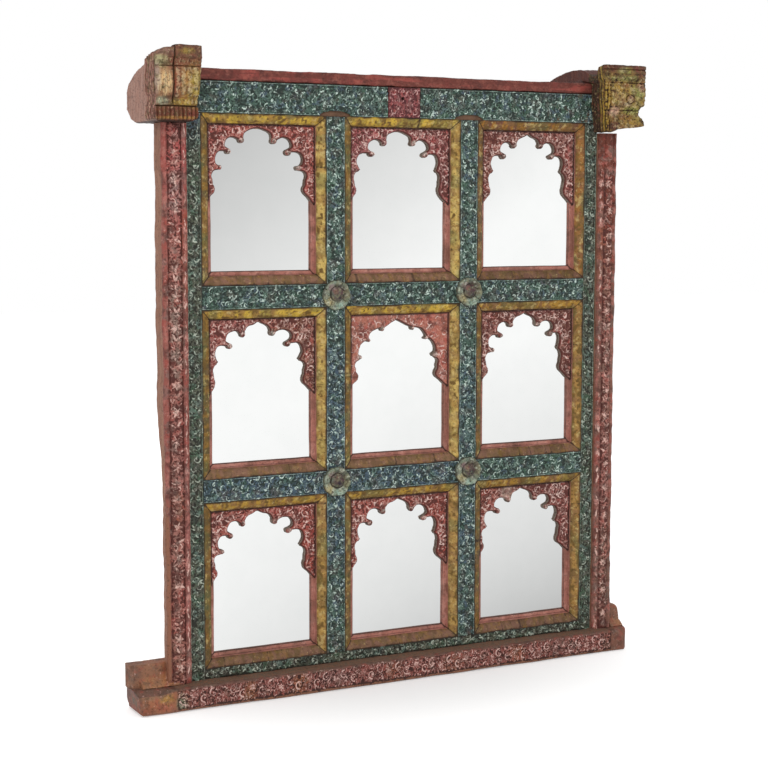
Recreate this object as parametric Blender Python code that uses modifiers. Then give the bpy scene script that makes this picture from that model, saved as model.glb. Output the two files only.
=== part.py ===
"""Carved and painted window screen made into a standing wall mirror.

Nine mirror panes sit behind a grid of moulded uprights and rails. Each pane has a pair of
cusped arch brackets in front of its glass. Pilasters, a lintel and a sill beam frame the
grid, and a carved capital closes each top corner.

The frame of reference has X to the right, Y from the front towards the wall and Z up. Its
origin is under the middle of the sill, in the plane of the grid's flat face.
"""

import math

import bmesh
import bpy
from mathutils import Vector

# Pane grid, in metres
PANE_COLUMNS = 3
PANE_ROWS = 3
PANE_WIDTH = 0.268
PANE_HEIGHT = 0.333
MUNTIN_WIDTH = 0.042
RAIL_HEIGHT = 0.048
STILE_WIDTH = 0.031
BOTTOM_RAIL_HEIGHT = 0.021
LINTEL_HEIGHT = 0.063

# Moulding that runs round every pane: a bevel, a square step and a thin lip
BEVEL_WIDTH = 0.018
BEVEL_DEPTH = 0.011
STEP_DEPTH = 0.009
LIP_WIDTH = 0.009
LIP_THICKNESS = 0.004

# Fits
FIT_GAP = 0.0003
CUT_OVERRUN = 0.02
TRIM_ALLOWANCE = 0.002

# Mirror panes and the board behind them
MIRROR_THICKNESS = 0.004
MIRROR_LAP = 0.013
BACK_BOARD_THICKNESS = 0.004
BATTEN_THICKNESS = 0.018
BATTEN_HEIGHT = 0.045
BATTEN_END_INSET = 0.012
BATTEN_DROP = 0.16

# Pilasters
LEFT_PILASTER_WIDTH = 0.0532
RIGHT_PILASTER_WIDTH = 0.0477
PILASTER_PROUD = 0.012
PILASTER_BEAD_WIDTH = 0.011
PILASTER_GROOVE_WIDTH = 0.003
PILASTER_GROOVE_DEPTH = 0.003
PILASTER_PETAL_WIDTH = 0.013
PILASTER_PETAL_FALL = 0.005
HEWN_BACK_DEPTH = 0.024
HEWN_BACK_FOOT_TOP = 0.455
HEWN_BACK_RUN_OUT = 0.140

# Lintel cap and the tablet let into the lintel
CAP_HEIGHT = 0.023
CAP_EDGE_ROUND = 0.004
TABLET_WIDTH = 0.074
TABLET_MARGIN = 0.001
TABLET_POCKET_DEPTH = 0.004
TABLET_PROUD = 0.002
NAIL_HOLE_RADIUS = 0.003
NAIL_HOLE_OFFSET = 0.010
MUNTIN_HEAD_ARCH_WIDTH = 0.070
MUNTIN_HEAD_ARCH_RISE = 0.011
MUNTIN_HEAD_ARCH_DEPTH = 0.005

# Sill beam
SILL_HEIGHT = 0.048
SILL_PROJECTION = 0.040
SILL_EDGE_ROUND = 0.004
SILL_LEFT_END_RADIUS = 0.012
SILL_RIGHT_END_RADIUS = 0.014
SILL_HEEL_SET_IN = 0.009
HORN_HEIGHT = 0.047
HORN_SUNK = 0.006
LEFT_HORN_LENGTH = 0.0708
LEFT_HORN_SETBACK = 0.012
RIGHT_HORN_LENGTH = 0.0325
RIGHT_HORN_SETBACK = 0.002

# Capitals
CAPITAL_HEIGHT = 0.143
CAPITAL_BELOW_LINTEL = 0.020
CAPITAL_PROJECTION = 0.062
CAPITAL_BOW = 0.017
CAPITAL_BOW_STEPS = 8
CAPITAL_UNDERCUT = 0.018
CAPITAL_REED_COUNT = 3
CAPITAL_REED_RADIUS = 0.0055
CAPITAL_TAIL_SHOULDER = 0.0055
CAPITAL_TAIL_ROUND = 0.012
LEFT_CAPITAL_WIDTH = 0.1003
LEFT_CAPITAL_OVERHANG = 0.0288
LEFT_TAIL_REACH = 0.128
RIGHT_CAPITAL_WIDTH = 0.117
RIGHT_CAPITAL_OVERHANG = 0.046
RIGHT_TAIL_REACH = 0.178

# Arch brackets
ARCH_CLEARANCE = 0.0004
CUSP_STEPS = 6

# Rosettes on the crossings
ROSETTE_RADIUS = 0.028
ROSETTE_LIP_RADIUS = 0.025
ROSETTE_RIM_HEIGHT = 0.004
ROSETTE_THICKNESS = 0.008
ROSETTE_CUP_WIDTH = 0.002
ROSETTE_CUP_HEIGHT = 0.004
ROSETTE_BOSS_RADIUS = 0.0125
ROSETTE_BOSS_HEIGHT = 0.012
ROSETTE_SEGMENTS = 32

# Sizes that follow from the ones above
WING_REACH = BEVEL_WIDTH + LIP_WIDTH
LIP_FRONT = BEVEL_DEPTH + STEP_DEPTH
LIP_BACK = LIP_FRONT + LIP_THICKNESS
MIRROR_FRONT = LIP_BACK + FIT_GAP
MEMBER_THICKNESS = MIRROR_FRONT + MIRROR_THICKNESS + FIT_GAP
REBATE_EDGE = WING_REACH - MIRROR_LAP - FIT_GAP
MITRE_GAP = FIT_GAP / math.sqrt(2)
BOARD_FRONT = MEMBER_THICKNESS + FIT_GAP
FRAME_BACK = BOARD_FRONT + BACK_BOARD_THICKNESS
BATTEN_FRONT = FRAME_BACK + FIT_GAP
BATTEN_BACK = BATTEN_FRONT + BATTEN_THICKNESS
COLUMN_PITCH = PANE_WIDTH + MUNTIN_WIDTH
ROW_PITCH = PANE_HEIGHT + RAIL_HEIGHT
GRID_HALF_WIDTH = (PANE_COLUMNS * COLUMN_PITCH - MUNTIN_WIDTH) / 2
LEDGE_TOP = SILL_HEIGHT
GRID_BOTTOM = LEDGE_TOP + BOTTOM_RAIL_HEIGHT
GRID_TOP = GRID_BOTTOM + PANE_ROWS * ROW_PITCH - RAIL_HEIGHT
LINTEL_TOP = GRID_TOP + LINTEL_HEIGHT
CAP_TOP = LINTEL_TOP + CAP_HEIGHT
STILE_OUTER = GRID_HALF_WIDTH + STILE_WIDTH
PILASTER_INNER = STILE_OUTER + FIT_GAP
LEFT_OUTER = PILASTER_INNER + LEFT_PILASTER_WIDTH
RIGHT_OUTER = PILASTER_INNER + RIGHT_PILASTER_WIDTH
CAPITAL_BOTTOM = GRID_TOP - CAPITAL_BELOW_LINTEL
CAPITAL_TOP = CAPITAL_BOTTOM + CAPITAL_HEIGHT
SILL_LEFT = -(LEFT_OUTER + LEFT_HORN_LENGTH)
SILL_RIGHT = RIGHT_OUTER + RIGHT_HORN_LENGTH
SILL_HEEL_DEPTH = BATTEN_BACK - FRAME_BACK
ARCH_HALF_WIDTH = PANE_WIDTH / 2 - BEVEL_WIDTH
ARCH_THICKNESS = STEP_DEPTH - 2 * ARCH_CLEARANCE

# The cusped edge of a bracket, as shares of the arch's half width: the middle of each arc
# across and down from the crown, the arc's radius, and its first and last angle in degrees.
# Hanging buds and scallops take turns, and the last arc is the swelling at the foot. Most
# brackets have two buds and a blunt point, some have three buds, and one arch is shallow.
TWO_BUD_ARCS = (
    (0.320, 0.278, 0.050, 165, 352),
    (0.471, 0.351, 0.130, 145, -12),
    (0.541, 0.468, 0.050, 95, 370),
    (0.666, 0.593, 0.134, 106, -32),
    (0.745, 0.738, 0.016, 62, 300),
    (0.774, 0.875, 0.095, 97, -38),
    (0.900, 1.104, 0.095, 128, 232),
)
THREE_BUD_ARCS = TWO_BUD_ARCS[:4] + ((0.709, 0.732, 0.042, 62, 300),) + TWO_BUD_ARCS[5:]
SHALLOW_ARCS = (
    (0.328, 0.275, 0.033, 165, 352),
    (0.380, 0.480, 0.220, 95, 15),
    (0.590, 0.462, 0.030, 110, 370),
    (0.560, 0.690, 0.235, 72, -5),
    (0.770, 0.763, 0.038, 80, 290),
    (0.774, 0.900, 0.080, 80, -45),
    (0.900, 1.104, 0.110, 128, 232),
)
ROUND_CROWN = ((0.0, 0.060), (0.104, 0.088), (0.208, 0.122), (0.262, 0.161), (0.275, 0.225))
POINTED_CROWN = ((0.0, 0.050), (0.045, 0.088), (0.100, 0.112), (0.175, 0.135), (0.235, 0.168), (0.270, 0.225))
LOW_CROWN = ((0.0, 0.113), (0.125, 0.172), (0.223, 0.222), (0.285, 0.248))
TAIL_SHARES = ((0.905, 1.240), (0.952, 1.315))
ARCH_DROP_SHARE = 1.375
# Each hand-cut arch by row and column: how far its crown lies right of its pane's middle, its
# crown, and for the left and the right bracket the arcs and the marks that they are eased to:
# the places across of the first two buds, the third bud or point, and the last scallop.
ARCH_SHAPES = (
    ((-0.080, ROUND_CROWN, (THREE_BUD_ARCS, (0.280, 0.527, 0.675, 0.822)), (THREE_BUD_ARCS, (0.316, 0.590, 0.769, 0.925))),
     (-0.049, ROUND_CROWN, (TWO_BUD_ARCS, (0.255, 0.508, 0.755, 0.860)), (TWO_BUD_ARCS, (0.318, 0.558, 0.790, 0.865))),
     (0.016, POINTED_CROWN, (TWO_BUD_ARCS, (0.312, 0.541, 0.765, 0.860)), (TWO_BUD_ARCS, (0.262, 0.502, 0.712, 0.790)))),
    ((-0.056, POINTED_CROWN, (TWO_BUD_ARCS, (0.305, 0.545, 0.770, 0.850)), (TWO_BUD_ARCS, (0.245, 0.548, 0.768, 0.870))),
     (-0.059, LOW_CROWN, (SHALLOW_ARCS, (0.280, 0.555, 0.735, 0.825)), (SHALLOW_ARCS, (0.328, 0.600, 0.780, 0.850))),
     (-0.033, POINTED_CROWN, (THREE_BUD_ARCS, (0.302, 0.525, 0.700, 0.840)), (TWO_BUD_ARCS, (0.285, 0.580, 0.738, 0.815)))),
    ((-0.110, POINTED_CROWN, (THREE_BUD_ARCS, (0.272, 0.500, 0.655, 0.797)), (TWO_BUD_ARCS, (0.335, 0.604, 0.835, 0.925))),
     (-0.010, POINTED_CROWN, (TWO_BUD_ARCS, (0.312, 0.580, 0.790, 0.876)), (TWO_BUD_ARCS, (0.262, 0.528, 0.745, 0.820))),
     (-0.082, POINTED_CROWN, (TWO_BUD_ARCS, (0.255, 0.502, 0.745, 0.843)), (TWO_BUD_ARCS, (0.305, 0.575, 0.775, 0.860)))),
)

# Outlines of the carved faces, as shares of width from the inner side and of height
LEFT_FACE_SHARES = (
    (0.20, 0.00), (0.90, 0.00), (0.97, 0.03), (1.00, 0.10), (0.98, 0.20), (0.955, 0.23),
    (0.955, 0.33), (0.99, 0.36), (1.00, 0.50), (0.985, 0.74), (1.00, 0.80), (1.00, 0.89),
    (0.92, 0.95), (0.80, 0.985), (0.52, 1.00), (0.03, 1.00), (0.00, 0.97), (0.00, 0.79),
    (0.02, 0.755), (0.047, 0.65), (0.08, 0.45), (0.103, 0.22), (0.118, 0.08), (0.144, 0.03),
)
RIGHT_FACE_SHARES = (
    (0.103, 0.00), (0.213, 0.00), (0.436, 0.054), (0.715, 0.076), (0.856, 0.088), (0.94, 0.105),
    (0.944, 0.152), (0.923, 0.217), (0.88, 0.235), (0.845, 0.271), (0.849, 0.365),
    (0.932, 0.395), (0.966, 0.424), (0.966, 0.787), (0.992, 0.808), (1.00, 0.892),
    (0.975, 1.00), (0.03, 1.00), (0.00, 0.965), (0.005, 0.80), (0.049, 0.76), (0.049, 0.40),
    (0.087, 0.105),
)
# Side view of a capital's carved front, from its foot up, as shares of projection and height
CARVED_SIDE_SHARES = (
    (0.78, 0.00), (0.84, 0.03), (0.86, 0.11), (0.82, 0.19), (0.76, 0.22), (0.76, 0.30),
    (0.86, 0.36), (0.92, 0.50), (0.90, 0.66), (0.86, 0.76), (0.94, 0.80), (1.00, 0.86),
    (1.00, 0.96), (0.95, 1.00), (0.72, 1.00),
)
# Side view of a capital's plain tail, from the top down, as shares of its reach and of height
LEFT_TAIL_SHARES = (
    (-0.31, 0.93), (-0.09, 0.86), (0.154, 0.77), (0.577, 0.66), (0.866, 0.54), (1.0, 0.375),
    (0.967, 0.215), (0.745, 0.06), (0.55, 0.0),
)
RIGHT_TAIL_SHARES = (
    (-0.10, 0.93), (0.03, 0.955), (0.19, 0.97), (0.38, 0.965), (0.58, 0.94), (0.80, 0.91),
    (0.96, 0.88), (1.0, 0.80), (1.0, 0.42), (0.90, 0.15), (0.70, 0.0),
)
# Front view of the right horn above the ledge, from its end inwards, as shares of its size
RIGHT_HORN_SHARES = ((1.0, 0.0), (0.97, 0.16), (0.95, 0.36), (0.86, 0.75), (0.72, 1.0))

MATERIALS = {
    "green_paint": ((0.070, 0.150, 0.125), 0.62, 0.0),
    "red_paint": ((0.260, 0.070, 0.060), 0.62, 0.0),
    "yellow_paint": ((0.420, 0.300, 0.080), 0.60, 0.0),
    "old_wood": ((0.270, 0.130, 0.080), 0.72, 0.0),
    "plain_board": ((0.420, 0.300, 0.190), 0.70, 0.0),
    "cream_paint": ((0.420, 0.400, 0.260), 0.60, 0.0),
    "mirror_glass": ((0.900, 0.910, 0.900), 0.02, 1.0),
}


def clear_scene():
    for item in list(bpy.data.objects):
        bpy.data.objects.remove(item, do_unlink=True)


def make_collection(name):
    group = bpy.data.collections.new(name)
    bpy.context.scene.collection.children.link(group)
    return group


def make_material(name):
    colour, roughness, metallic = MATERIALS[name]
    material = bpy.data.materials.new(name)
    material.use_nodes = True
    shader = material.node_tree.nodes["Principled BSDF"]
    shader.inputs["Base Color"].default_value = (*colour, 1.0)
    shader.inputs["Roughness"].default_value = roughness
    shader.inputs["Metallic"].default_value = metallic
    return material


clear_scene()
PARTS = make_collection("carved_wall_mirror")
CUTTERS = make_collection("cutters")
PAINT = {name: make_material(name) for name in MATERIALS}

# How an outline drawn flat is stood up: its own across, up and thickness directions
FRONT_VIEW = (math.pi / 2, 0, 0)
SIDE_VIEW = (math.pi / 2, 0, math.pi / 2)
PLAN_VIEW = (0, 0, 0)


def keep_as(piece, group, material=None):
    """Move an object to its collection, and give a part its finish."""
    for owner in list(piece.users_collection):
        owner.objects.unlink(piece)
    group.objects.link(piece)
    if group is CUTTERS:
        piece.hide_render = True
        piece.display_type = "WIRE"
    else:
        piece.data.materials.clear()
        piece.data.materials.append(PAINT[material])
    return piece


def as_mesh(source, name):
    """Turn a filled curve or a turned profile into a welded, outward-facing mesh object."""
    bpy.context.view_layer.update()
    evaluated = source.evaluated_get(bpy.context.evaluated_depsgraph_get())
    mesh = bpy.data.meshes.new_from_object(evaluated)
    shell = bmesh.new()
    shell.from_mesh(mesh)
    bmesh.ops.remove_doubles(shell, verts=shell.verts, dist=FIT_GAP / 10)
    bmesh.ops.recalc_face_normals(shell, faces=shell.faces)
    shell.to_mesh(mesh)
    shell.free()
    placement = source.matrix_world.copy()
    outline = source.data
    store = bpy.data.curves if source.type == "CURVE" else bpy.data.meshes
    bpy.data.objects.remove(source, do_unlink=True)
    store.remove(outline)
    mesh.name = name
    piece = bpy.data.objects.new(name, mesh)
    bpy.context.scene.collection.objects.link(piece)
    piece.matrix_world = placement
    return piece


def prism(name, outline, low, high, view):
    """Extrude a closed outline along the view's thickness direction, from low to high.

    In front view the outline is (x, z) and the thickness runs along Y. In side view it is
    (y, z) along X, and in plan view (x, y) along Z.
    """
    curve = bpy.data.curves.new(name, "CURVE")
    curve.dimensions = "2D"
    curve.fill_mode = "BOTH"
    curve.extrude = (high - low) / 2
    spline = curve.splines.new("POLY")
    spline.points.add(len(outline) - 1)
    for point, (across, up) in zip(spline.points, outline):
        point.co = (across, up, 0, 1)
    spline.use_cyclic_u = True
    piece = bpy.data.objects.new(name, curve)
    bpy.context.scene.collection.objects.link(piece)
    middle = (low + high) / 2
    piece.rotation_euler = view
    offsets = {FRONT_VIEW: (0, middle, 0), SIDE_VIEW: (middle, 0, 0), PLAN_VIEW: (0, 0, middle)}
    piece.location = offsets[view]
    return as_mesh(piece, name)


def combine(piece, other, operation):
    """Add a live Boolean with a cutter to a piece."""
    keep_as(other, CUTTERS)
    step = piece.modifiers.new(operation.lower(), "BOOLEAN")
    step.object = other
    step.operation = operation
    step.solver = "EXACT"
    return piece


def soften(piece, width, segments=2, angle=40):
    """Round the sharp edges of a piece."""
    step = piece.modifiers.new("edge_round", "BEVEL")
    step.width = width
    step.segments = segments
    step.limit_method = "ANGLE"
    step.angle_limit = math.radians(angle)
    return piece


def shade_round(piece, angle=35):
    """Shade a piece smooth, and keep the edges sharper than the angle."""
    piece.data.shade_smooth()
    piece.data.set_sharp_from_angle(angle=math.radians(angle))
    return piece


def box(name, low, high):
    """A box between two corners."""
    outline = [(low[0], low[2]), (high[0], low[2]), (high[0], high[2]), (low[0], high[2])]
    return prism(name, outline, low[1], high[1], FRONT_VIEW)


def arc(middle, radius, first, last, steps):
    """Points along a circular arc, with its angles in degrees."""
    points = []
    for index in range(steps + 1):
        angle = math.radians(first + (last - first) * index / steps)
        points.append((middle[0] + radius * math.cos(angle), middle[1] + radius * math.sin(angle)))
    return points


def pane_left(column):
    return -GRID_HALF_WIDTH + column * COLUMN_PITCH


def pane_bottom(row):
    """Bottom of a pane's opening in the flat face, with row 0 at the top."""
    return GRID_BOTTOM + (PANE_ROWS - 1 - row) * ROW_PITCH


def wing_profile():
    """Section of the moulding beside a flat: distance out from the flat's edge, and depth.

    The lip is left a little long here, and the front outline trims it.
    """
    return [
        (0, 0),
        (BEVEL_WIDTH, BEVEL_DEPTH),
        (BEVEL_WIDTH, LIP_FRONT),
        (WING_REACH + TRIM_ALLOWANCE, LIP_FRONT),
        (WING_REACH + TRIM_ALLOWANCE, LIP_BACK),
        (REBATE_EDGE, LIP_BACK),
        (REBATE_EDGE, MEMBER_THICKNESS),
    ]


def wing_plan(start, length):
    """Mitred plan of one moulding: distance along the flat's edge, and distance out from it."""
    end = start + length
    return [
        (start + MITRE_GAP, 0),
        (start + MITRE_GAP + WING_REACH, WING_REACH),
        (end - MITRE_GAP - WING_REACH, WING_REACH),
        (end - MITRE_GAP, 0),
    ]


def upright_edge(edge, outward):
    """One moulded long edge of an upright, from its foot to its head, in front view."""
    points = []
    for row in reversed(range(PANE_ROWS)):
        for along, out in wing_plan(pane_bottom(row), PANE_HEIGHT):
            points.append((edge + outward * out, along))
    return points


def moulded_upright(name, outline, section, material):
    """An upright: its plan section run up the height, cut to its outline in front view."""
    bar = prism(name, section, LEDGE_TOP - CUT_OVERRUN, GRID_TOP + CUT_OVERRUN, PLAN_VIEW)
    trim = prism(name + "_trim", outline, -CUT_OVERRUN, MEMBER_THICKNESS + CUT_OVERRUN, FRONT_VIEW)
    combine(bar, trim, "INTERSECT")
    return keep_as(bar, PARTS, material)


def make_muntin(index):
    middle = pane_left(index + 1) - MUNTIN_WIDTH / 2
    half = MUNTIN_WIDTH / 2
    right = [(middle + half + out, depth) for out, depth in wing_profile()]
    left = [(middle - half - out, depth) for out, depth in wing_profile()]
    outline = [(middle - half, GRID_BOTTOM + FIT_GAP), (middle + half, GRID_BOTTOM + FIT_GAP)]
    outline += upright_edge(middle + half, 1)
    outline += [(middle + half, GRID_TOP - FIT_GAP), (middle - half, GRID_TOP - FIT_GAP)]
    outline += list(reversed(upright_edge(middle - half, -1)))
    outline = without_doubles(outline)
    moulded_upright("muntin_" + str(index + 1), outline, right + left[::-1], "green_paint")


def without_doubles(outline):
    """Drop points that lie on the one before, which would leave faces without area."""
    kept = []
    for point in outline:
        if not kept or (Vector(point) - Vector(kept[-1])).length > FIT_GAP / 2:
            kept.append(point)
    return kept


def make_stile(name, side):
    """A stile beside the grid; side is -1 on the left and 1 on the right."""
    edge = side * GRID_HALF_WIDTH
    outer = side * STILE_OUTER
    section = [(edge - side * out, depth) for out, depth in wing_profile()]
    section += [(outer + side * TRIM_ALLOWANCE, MEMBER_THICKNESS), (outer + side * TRIM_ALLOWANCE, 0)]
    outline = [(outer, LEDGE_TOP + FIT_GAP), (edge + side * FIT_GAP, LEDGE_TOP + FIT_GAP)]
    outline += [(edge + side * FIT_GAP, GRID_BOTTOM)]
    outline += upright_edge(edge, -side)
    outline += [(edge + side * FIT_GAP, GRID_TOP - FIT_GAP), (outer, GRID_TOP - FIT_GAP)]
    moulded_upright(name, without_doubles(outline), section, "green_paint")


def moulded_rail(name, outline, section, low, high, material):
    """A rail: its side section run along X, cut to its outline in front view."""
    bar = prism(name, section, low - CUT_OVERRUN, high + CUT_OVERRUN, SIDE_VIEW)
    trim = prism(name + "_trim", outline, -CUT_OVERRUN, FRAME_BACK + CUT_OVERRUN, FRONT_VIEW)
    combine(bar, trim, "INTERSECT")
    return keep_as(bar, PARTS, material)


def make_rail(row, column):
    """The rail piece under one pane, between two uprights."""
    top = pane_bottom(row)
    low = top - RAIL_HEIGHT
    left = pane_left(column)
    right = left + PANE_WIDTH
    upper = [(depth, top + out) for out, depth in wing_profile()]
    lower = [(depth, low - out) for out, depth in wing_profile()]
    outline = [(left + FIT_GAP, low), (left + FIT_GAP, top)]
    outline += [(along, top + out) for along, out in wing_plan(left, PANE_WIDTH)]
    outline += [(right - FIT_GAP, top), (right - FIT_GAP, low)]
    outline += [(along, low - out) for along, out in reversed(wing_plan(left, PANE_WIDTH))]
    name = "rail_" + str(row + 1) + "_" + str(column + 1)
    moulded_rail(name, without_doubles(outline), upper + lower[::-1], left, right, "green_paint")


def long_rail_edge(level, upward):
    """The edge of a full-width rail with a mitred moulding at every pane, left to right."""
    points = []
    for column in range(PANE_COLUMNS):
        for along, out in wing_plan(pane_left(column), PANE_WIDTH):
            points.append((along, level + upward * out))
    return points


def make_bottom_rail():
    half = GRID_HALF_WIDTH
    low = LEDGE_TOP + FIT_GAP
    section = [(depth, GRID_BOTTOM + out) for out, depth in wing_profile()]
    section += [(MEMBER_THICKNESS, low - TRIM_ALLOWANCE), (0, low - TRIM_ALLOWANCE)]
    outline = [(half, low), (-half, low)]
    outline += long_rail_edge(GRID_BOTTOM, 1)
    moulded_rail("bottom_rail", outline, section, -half, half, "green_paint")


def head_arches():
    """Shallow arched recesses in the lintel, one over each muntin's head."""
    cutters = []
    for index in range(PANE_COLUMNS - 1):
        middle = pane_left(index + 1) - MUNTIN_WIDTH / 2
        half = MUNTIN_HEAD_ARCH_WIDTH / 2
        curve = [(middle + half * math.cos(math.radians(turn)),
                  GRID_TOP + MUNTIN_HEAD_ARCH_RISE * math.sin(math.radians(turn)))
                 for turn in range(0, 181, 20)]
        outline = curve + [(middle - half, GRID_TOP - WING_REACH), (middle + half, GRID_TOP - WING_REACH)]
        name = "head_arch_" + str(index + 1)
        cutters.append(prism(name, outline, -CUT_OVERRUN, MUNTIN_HEAD_ARCH_DEPTH, FRONT_VIEW))
    return cutters


def make_lintel():
    half = STILE_OUTER
    section = [(depth, GRID_TOP - out) for out, depth in wing_profile()]
    section += [(MEMBER_THICKNESS, LINTEL_TOP + TRIM_ALLOWANCE), (0, LINTEL_TOP + TRIM_ALLOWANCE)]
    outline = [(half, LINTEL_TOP), (-half, LINTEL_TOP), (-half, GRID_TOP)]
    outline += long_rail_edge(GRID_TOP, -1)
    outline += [(half, GRID_TOP)]
    lintel = moulded_rail("lintel", outline, section, -half, half, "green_paint")
    pocket_half = TABLET_WIDTH / 2 + FIT_GAP
    pocket = box("tablet_pocket", (-pocket_half, -CUT_OVERRUN, GRID_TOP + TABLET_MARGIN - FIT_GAP),
                 (pocket_half, TABLET_POCKET_DEPTH + FIT_GAP, LINTEL_TOP - TABLET_MARGIN + FIT_GAP))
    combine(lintel, pocket, "DIFFERENCE")
    for cutter in head_arches():
        combine(lintel, cutter, "DIFFERENCE")


def make_tablet():
    half = TABLET_WIDTH / 2
    tablet = box("lintel_tablet", (-half, -TABLET_PROUD, GRID_TOP + TABLET_MARGIN),
                 (half, TABLET_POCKET_DEPTH, LINTEL_TOP - TABLET_MARGIN))
    middle = (-NAIL_HOLE_OFFSET, (GRID_TOP + LINTEL_TOP) / 2)
    ring = arc(middle, NAIL_HOLE_RADIUS, 0, 330, 11)
    hole = prism("nail_hole", ring, -CUT_OVERRUN, CUT_OVERRUN, FRONT_VIEW)
    combine(tablet, hole, "DIFFERENCE")
    keep_as(tablet, PARTS, "red_paint")


def make_lintel_cap():
    half = STILE_OUTER
    low = LINTEL_TOP + FIT_GAP
    cap = box("lintel_cap", (-half, 0, low), (half, FRAME_BACK, CAP_TOP))
    soften(cap, CAP_EDGE_ROUND)
    keep_as(cap, PARTS, "red_paint")


def pilaster_section(side, outer):
    """Plan of a pilaster: an outer bead, a carved field between grooves and a sloping edge."""
    front = -PILASTER_PROUD
    groove = front + PILASTER_GROOVE_DEPTH
    bead_radius = PILASTER_BEAD_WIDTH / 2
    bead_middle = (outer - bead_radius, front + bead_radius)
    field_outer = outer - PILASTER_BEAD_WIDTH - PILASTER_GROOVE_WIDTH
    field_inner = PILASTER_INNER + PILASTER_PETAL_WIDTH + PILASTER_GROOVE_WIDTH
    petal_top = PILASTER_INNER + PILASTER_PETAL_WIDTH
    points = [(outer, FRAME_BACK)]
    points += arc(bead_middle, bead_radius, 0, -180, 6)
    points += [
        (outer - PILASTER_BEAD_WIDTH, groove),
        (field_outer, groove),
        (field_outer, front),
        (field_inner, front),
        (field_inner, groove),
        (petal_top, groove),
        (petal_top, front),
        (PILASTER_INNER, front + PILASTER_PETAL_FALL),
        (PILASTER_INNER, FRAME_BACK),
    ]
    return [(side * across, depth) for across, depth in without_doubles(points)]


def make_pilaster(name, side, outer):
    low = LEDGE_TOP + FIT_GAP
    high = CAPITAL_BOTTOM - FIT_GAP
    post = shade_round(prism(name, pilaster_section(side, outer), low, high, PLAN_VIEW))
    return keep_as(post, PARTS, "red_paint")


def hew_back(post):
    """Take the back off the foot of a pilaster, running out in a slope above it."""
    behind = FRAME_BACK + CUT_OVERRUN
    top = HEWN_BACK_FOOT_TOP + HEWN_BACK_RUN_OUT
    outline = [(FRAME_BACK - HEWN_BACK_DEPTH, -CUT_OVERRUN), (behind, -CUT_OVERRUN), (behind, top)]
    outline += [(FRAME_BACK, top), (FRAME_BACK - HEWN_BACK_DEPTH, HEWN_BACK_FOOT_TOP)]
    cutter = prism("hewn_back", outline, -LEFT_OUTER - CUT_OVERRUN, -PILASTER_INNER + CUT_OVERRUN, SIDE_VIEW)
    combine(post, cutter, "DIFFERENCE")


def make_horn(name, outline, setback):
    """A block left standing on the sill beam beside a pilaster."""
    return prism(name, outline, setback, FRAME_BACK, FRONT_VIEW)


def sill_plan():
    """Plan of the sill beam: its ends run in towards the heel, the part behind the frame."""
    front = -SILL_PROJECTION - CUT_OVERRUN
    turn = FRAME_BACK - SILL_HEEL_DEPTH
    behind = FRAME_BACK + 2 * SILL_HEEL_DEPTH
    return [
        (SILL_LEFT - SILL_HEEL_SET_IN, front),
        (SILL_RIGHT + SILL_HEEL_SET_IN, front),
        (SILL_RIGHT + SILL_HEEL_SET_IN, turn),
        (SILL_RIGHT - 2 * SILL_HEEL_SET_IN, behind),
        (SILL_LEFT + 2 * SILL_HEEL_SET_IN, behind),
        (SILL_LEFT - SILL_HEEL_SET_IN, turn),
    ]


def make_sill():
    """The sill beam: its side section run between the rounded ends, with a horn at each.

    It reaches back as far as the battens, so that the mirror stands on a broad enough foot.
    """
    section = [
        (-SILL_PROJECTION + SILL_EDGE_ROUND, 0),
        (BATTEN_BACK, 0),
        (BATTEN_BACK, LEDGE_TOP),
        (-SILL_PROJECTION + SILL_EDGE_ROUND, LEDGE_TOP),
        (-SILL_PROJECTION, LEDGE_TOP - SILL_EDGE_ROUND),
        (-SILL_PROJECTION, SILL_EDGE_ROUND),
    ]
    sill = prism("sill_beam", section, SILL_LEFT - CUT_OVERRUN, SILL_RIGHT + CUT_OVERRUN, SIDE_VIEW)
    right_radius = SILL_RIGHT_END_RADIUS
    left_radius = SILL_LEFT_END_RADIUS
    outline = arc((SILL_RIGHT - right_radius, right_radius), right_radius, -90, 0, 4)
    outline += [(SILL_RIGHT, LEDGE_TOP + CUT_OVERRUN), (SILL_LEFT, LEDGE_TOP + CUT_OVERRUN)]
    outline += arc((SILL_LEFT + left_radius, left_radius), left_radius, 180, 270, 4)
    trim = prism("sill_trim", outline, -SILL_PROJECTION - CUT_OVERRUN, BATTEN_BACK + CUT_OVERRUN, FRONT_VIEW)
    combine(sill, trim, "INTERSECT")
    plan = prism("sill_plan", sill_plan(), -CUT_OVERRUN, LEDGE_TOP + CUT_OVERRUN, PLAN_VIEW)
    combine(sill, plan, "INTERSECT")
    low = LEDGE_TOP - HORN_SUNK
    high = LEDGE_TOP + HORN_HEIGHT
    start = LEFT_OUTER + FIT_GAP
    left = [(-start, low), (-start, high), (SILL_LEFT, high), (SILL_LEFT, low)]
    combine(sill, make_horn("left_horn", left, LEFT_HORN_SETBACK), "UNION")
    start = RIGHT_OUTER + FIT_GAP
    length = SILL_RIGHT - start
    right = [(start + across * length, LEDGE_TOP + up * HORN_HEIGHT) for across, up in RIGHT_HORN_SHARES]
    right += [(start, high), (start, low), (SILL_RIGHT, low)]
    combine(sill, make_horn("right_horn", right, RIGHT_HORN_SETBACK), "UNION")
    keep_as(sill, PARTS, "old_wood")


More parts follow.
